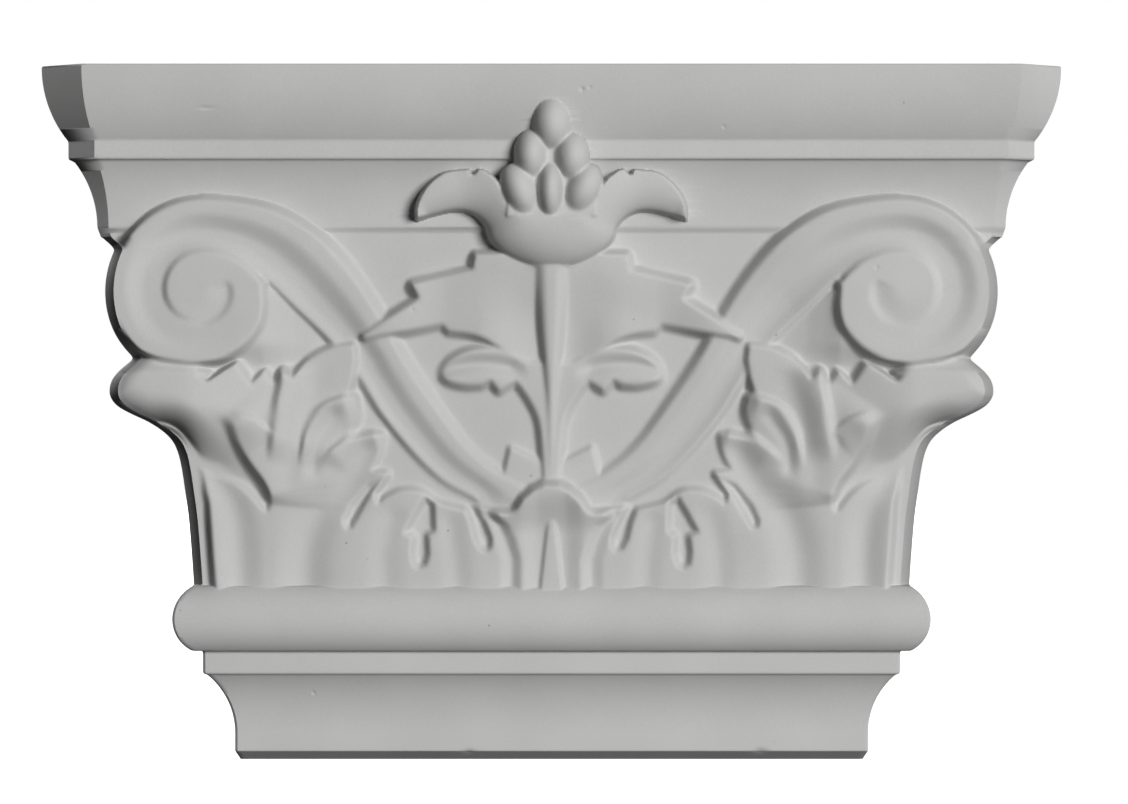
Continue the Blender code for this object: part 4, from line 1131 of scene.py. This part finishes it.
# The grey with painted shade in the pinholes
pinhole_shaded = nodes.new("ShaderNodeMix")
pinhole_shaded.data_type = "RGBA"
pinhole_shaded.inputs[SECOND].default_value = PINHOLE_SHADE_GREY
links.new(pinhole_dent_and_shade, pinhole_shaded.inputs[FACTOR])
links.new(tint.outputs[MIXED], pinhole_shaded.inputs[FIRST])
print("the greys lie between", DARK_GREY[0], "and", LIGHT_GREY[0])

# %% [markdown]
# ## Skin
# The skin is the fine grain less the pinholes, a tenth of a millimetre high, as a bump. It is too fine
# for geometry.

# %% Plaster skin
SKIN_HEIGHT = 0.00012  # metres
skin = combined("SUBTRACT", ranged(grain, 0.2, 0.8, 0.0, 0.35), pinhole_dent_and_shade)
bump = nodes.new("ShaderNodeBump")
bump.inputs["Strength"].default_value = 0.35
bump.inputs["Distance"].default_value = SKIN_HEIGHT
links.new(skin, bump.inputs["Height"])
shader = nodes["Principled BSDF"]
shader.inputs["Specular IOR Level"].default_value = 0.25
links.new(pinhole_shaded.outputs[MIXED], shader.inputs["Base Color"])
links.new(ranged(clouds, 0.3, 0.7, 0.80, 0.92), shader.inputs["Roughness"])
links.new(bump.outputs["Normal"], shader.inputs["Normal"])
casting.data.materials.clear()
casting.data.materials.append(plaster)
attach(casting, "root")
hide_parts("capital")
print("the plaster has", len(nodes), "nodes")

# %% [markdown]
# ## The floor
# The piece stands on a plain white floor, as on a photographer's table. The floor glows a little by
# itself, so it stays white without a lamp of its own, and it is kept out of the light that falls back
# on the piece, because bright ground would wash out the shadows under the mouldings.

# %% Floor
WHITE = (1.0, 1.0, 1.0, 1.0)
FLOOR_HALF = 6.0  # metres

floor_mesh = bpy.data.meshes.new("floor")
bm = bmesh.new()
bmesh.ops.create_grid(bm, x_segments=1, y_segments=1, size=FLOOR_HALF)
bm.to_mesh(floor_mesh)
bm.free()
floor = bpy.data.objects.new("floor", floor_mesh)
bpy.context.scene.collection.objects.link(floor)
paint = bpy.data.materials.new("floor_paint")
paint.use_nodes = True
painted = paint.node_tree.nodes["Principled BSDF"].inputs
painted["Base Color"].default_value = (0.9, 0.9, 0.9, 1.0)
painted["Roughness"].default_value = 0.9
painted["Emission Color"].default_value = WHITE
painted["Emission Strength"].default_value = 1.1
floor_mesh.materials.append(paint)
floor.visible_diffuse = False
floor.visible_glossy = False
print("the floor is", 2 * FLOOR_HALF, "m square")

# %% [markdown]
# ## The room
# Behind the piece is plain white. A white room would light the relief from all round and make it flat,
# so a Light Path node picks one of two backgrounds: bright for what the camera sees, and almost dark
# for the light that the piece gets. A real studio does the same with a lit screen far behind the
# object.

# %% Room
ROOM_LIGHT, SCREEN_LIGHT = 0.02, 1.0

room = bpy.data.worlds.new("room")
bpy.context.scene.world = room
room.use_nodes = True
room_nodes, room_links = room.node_tree.nodes, room.node_tree.links
dim = room_nodes["Background"]
dim.inputs["Color"].default_value = WHITE
dim.inputs["Strength"].default_value = ROOM_LIGHT
bright = room_nodes.new("ShaderNodeBackground")
bright.inputs["Color"].default_value = WHITE
bright.inputs["Strength"].default_value = SCREEN_LIGHT
chosen = room_nodes.new("ShaderNodeMixShader")
seen = room_nodes.new("ShaderNodeLightPath")
room_links.new(seen.outputs["Is Camera Ray"], chosen.inputs["Fac"])
room_links.new(dim.outputs["Background"], chosen.inputs[1])
room_links.new(bright.outputs["Background"], chosen.inputs[2])
room_links.new(chosen.outputs["Shader"], room_nodes["World Output"].inputs["Surface"])
print("the room gives", ROOM_LIGHT, "of the light that the screen shows")

# %% [markdown]
# ## The lamps
# Low relief is read by its shading, so the light rakes across it from the right. The lamp is large and
# far away, which keeps the shadows soft and the light even over the width. It stands only a little
# above the piece: a high lamp would darken everything under the abacus. A second lamp lights the back.

# %% Lamps
AIM_HEIGHT = 0.13  # metres, the middle of the piece


def lamp(name, azimuth, elevation, distance, size, power):
    """A soft round lamp that looks at the piece. Azimuth counts from the front to the right."""
    data = bpy.data.lights.new(name, "AREA")
    data.shape = "DISK"
    data.size = size
    data.energy = power
    body = bpy.data.objects.new(name, data)
    bpy.context.scene.collection.objects.link(body)
    turn, rise = math.radians(azimuth), math.radians(elevation)
    body.location = (
        distance * math.sin(turn) * math.cos(rise),
        -distance * math.cos(turn) * math.cos(rise),
        AIM_HEIGHT + distance * math.sin(rise),
    )
    body.rotation_euler = (math.radians(90) - rise, 0.0, turn)
    print("lamp", name, "at", tuple(round(v, 2) for v in body.location), "m")


lamp("key", 28, 8, 6.0, 2.2, 370)
lamp("behind", 200, 20, 5.0, 2.0, 160)
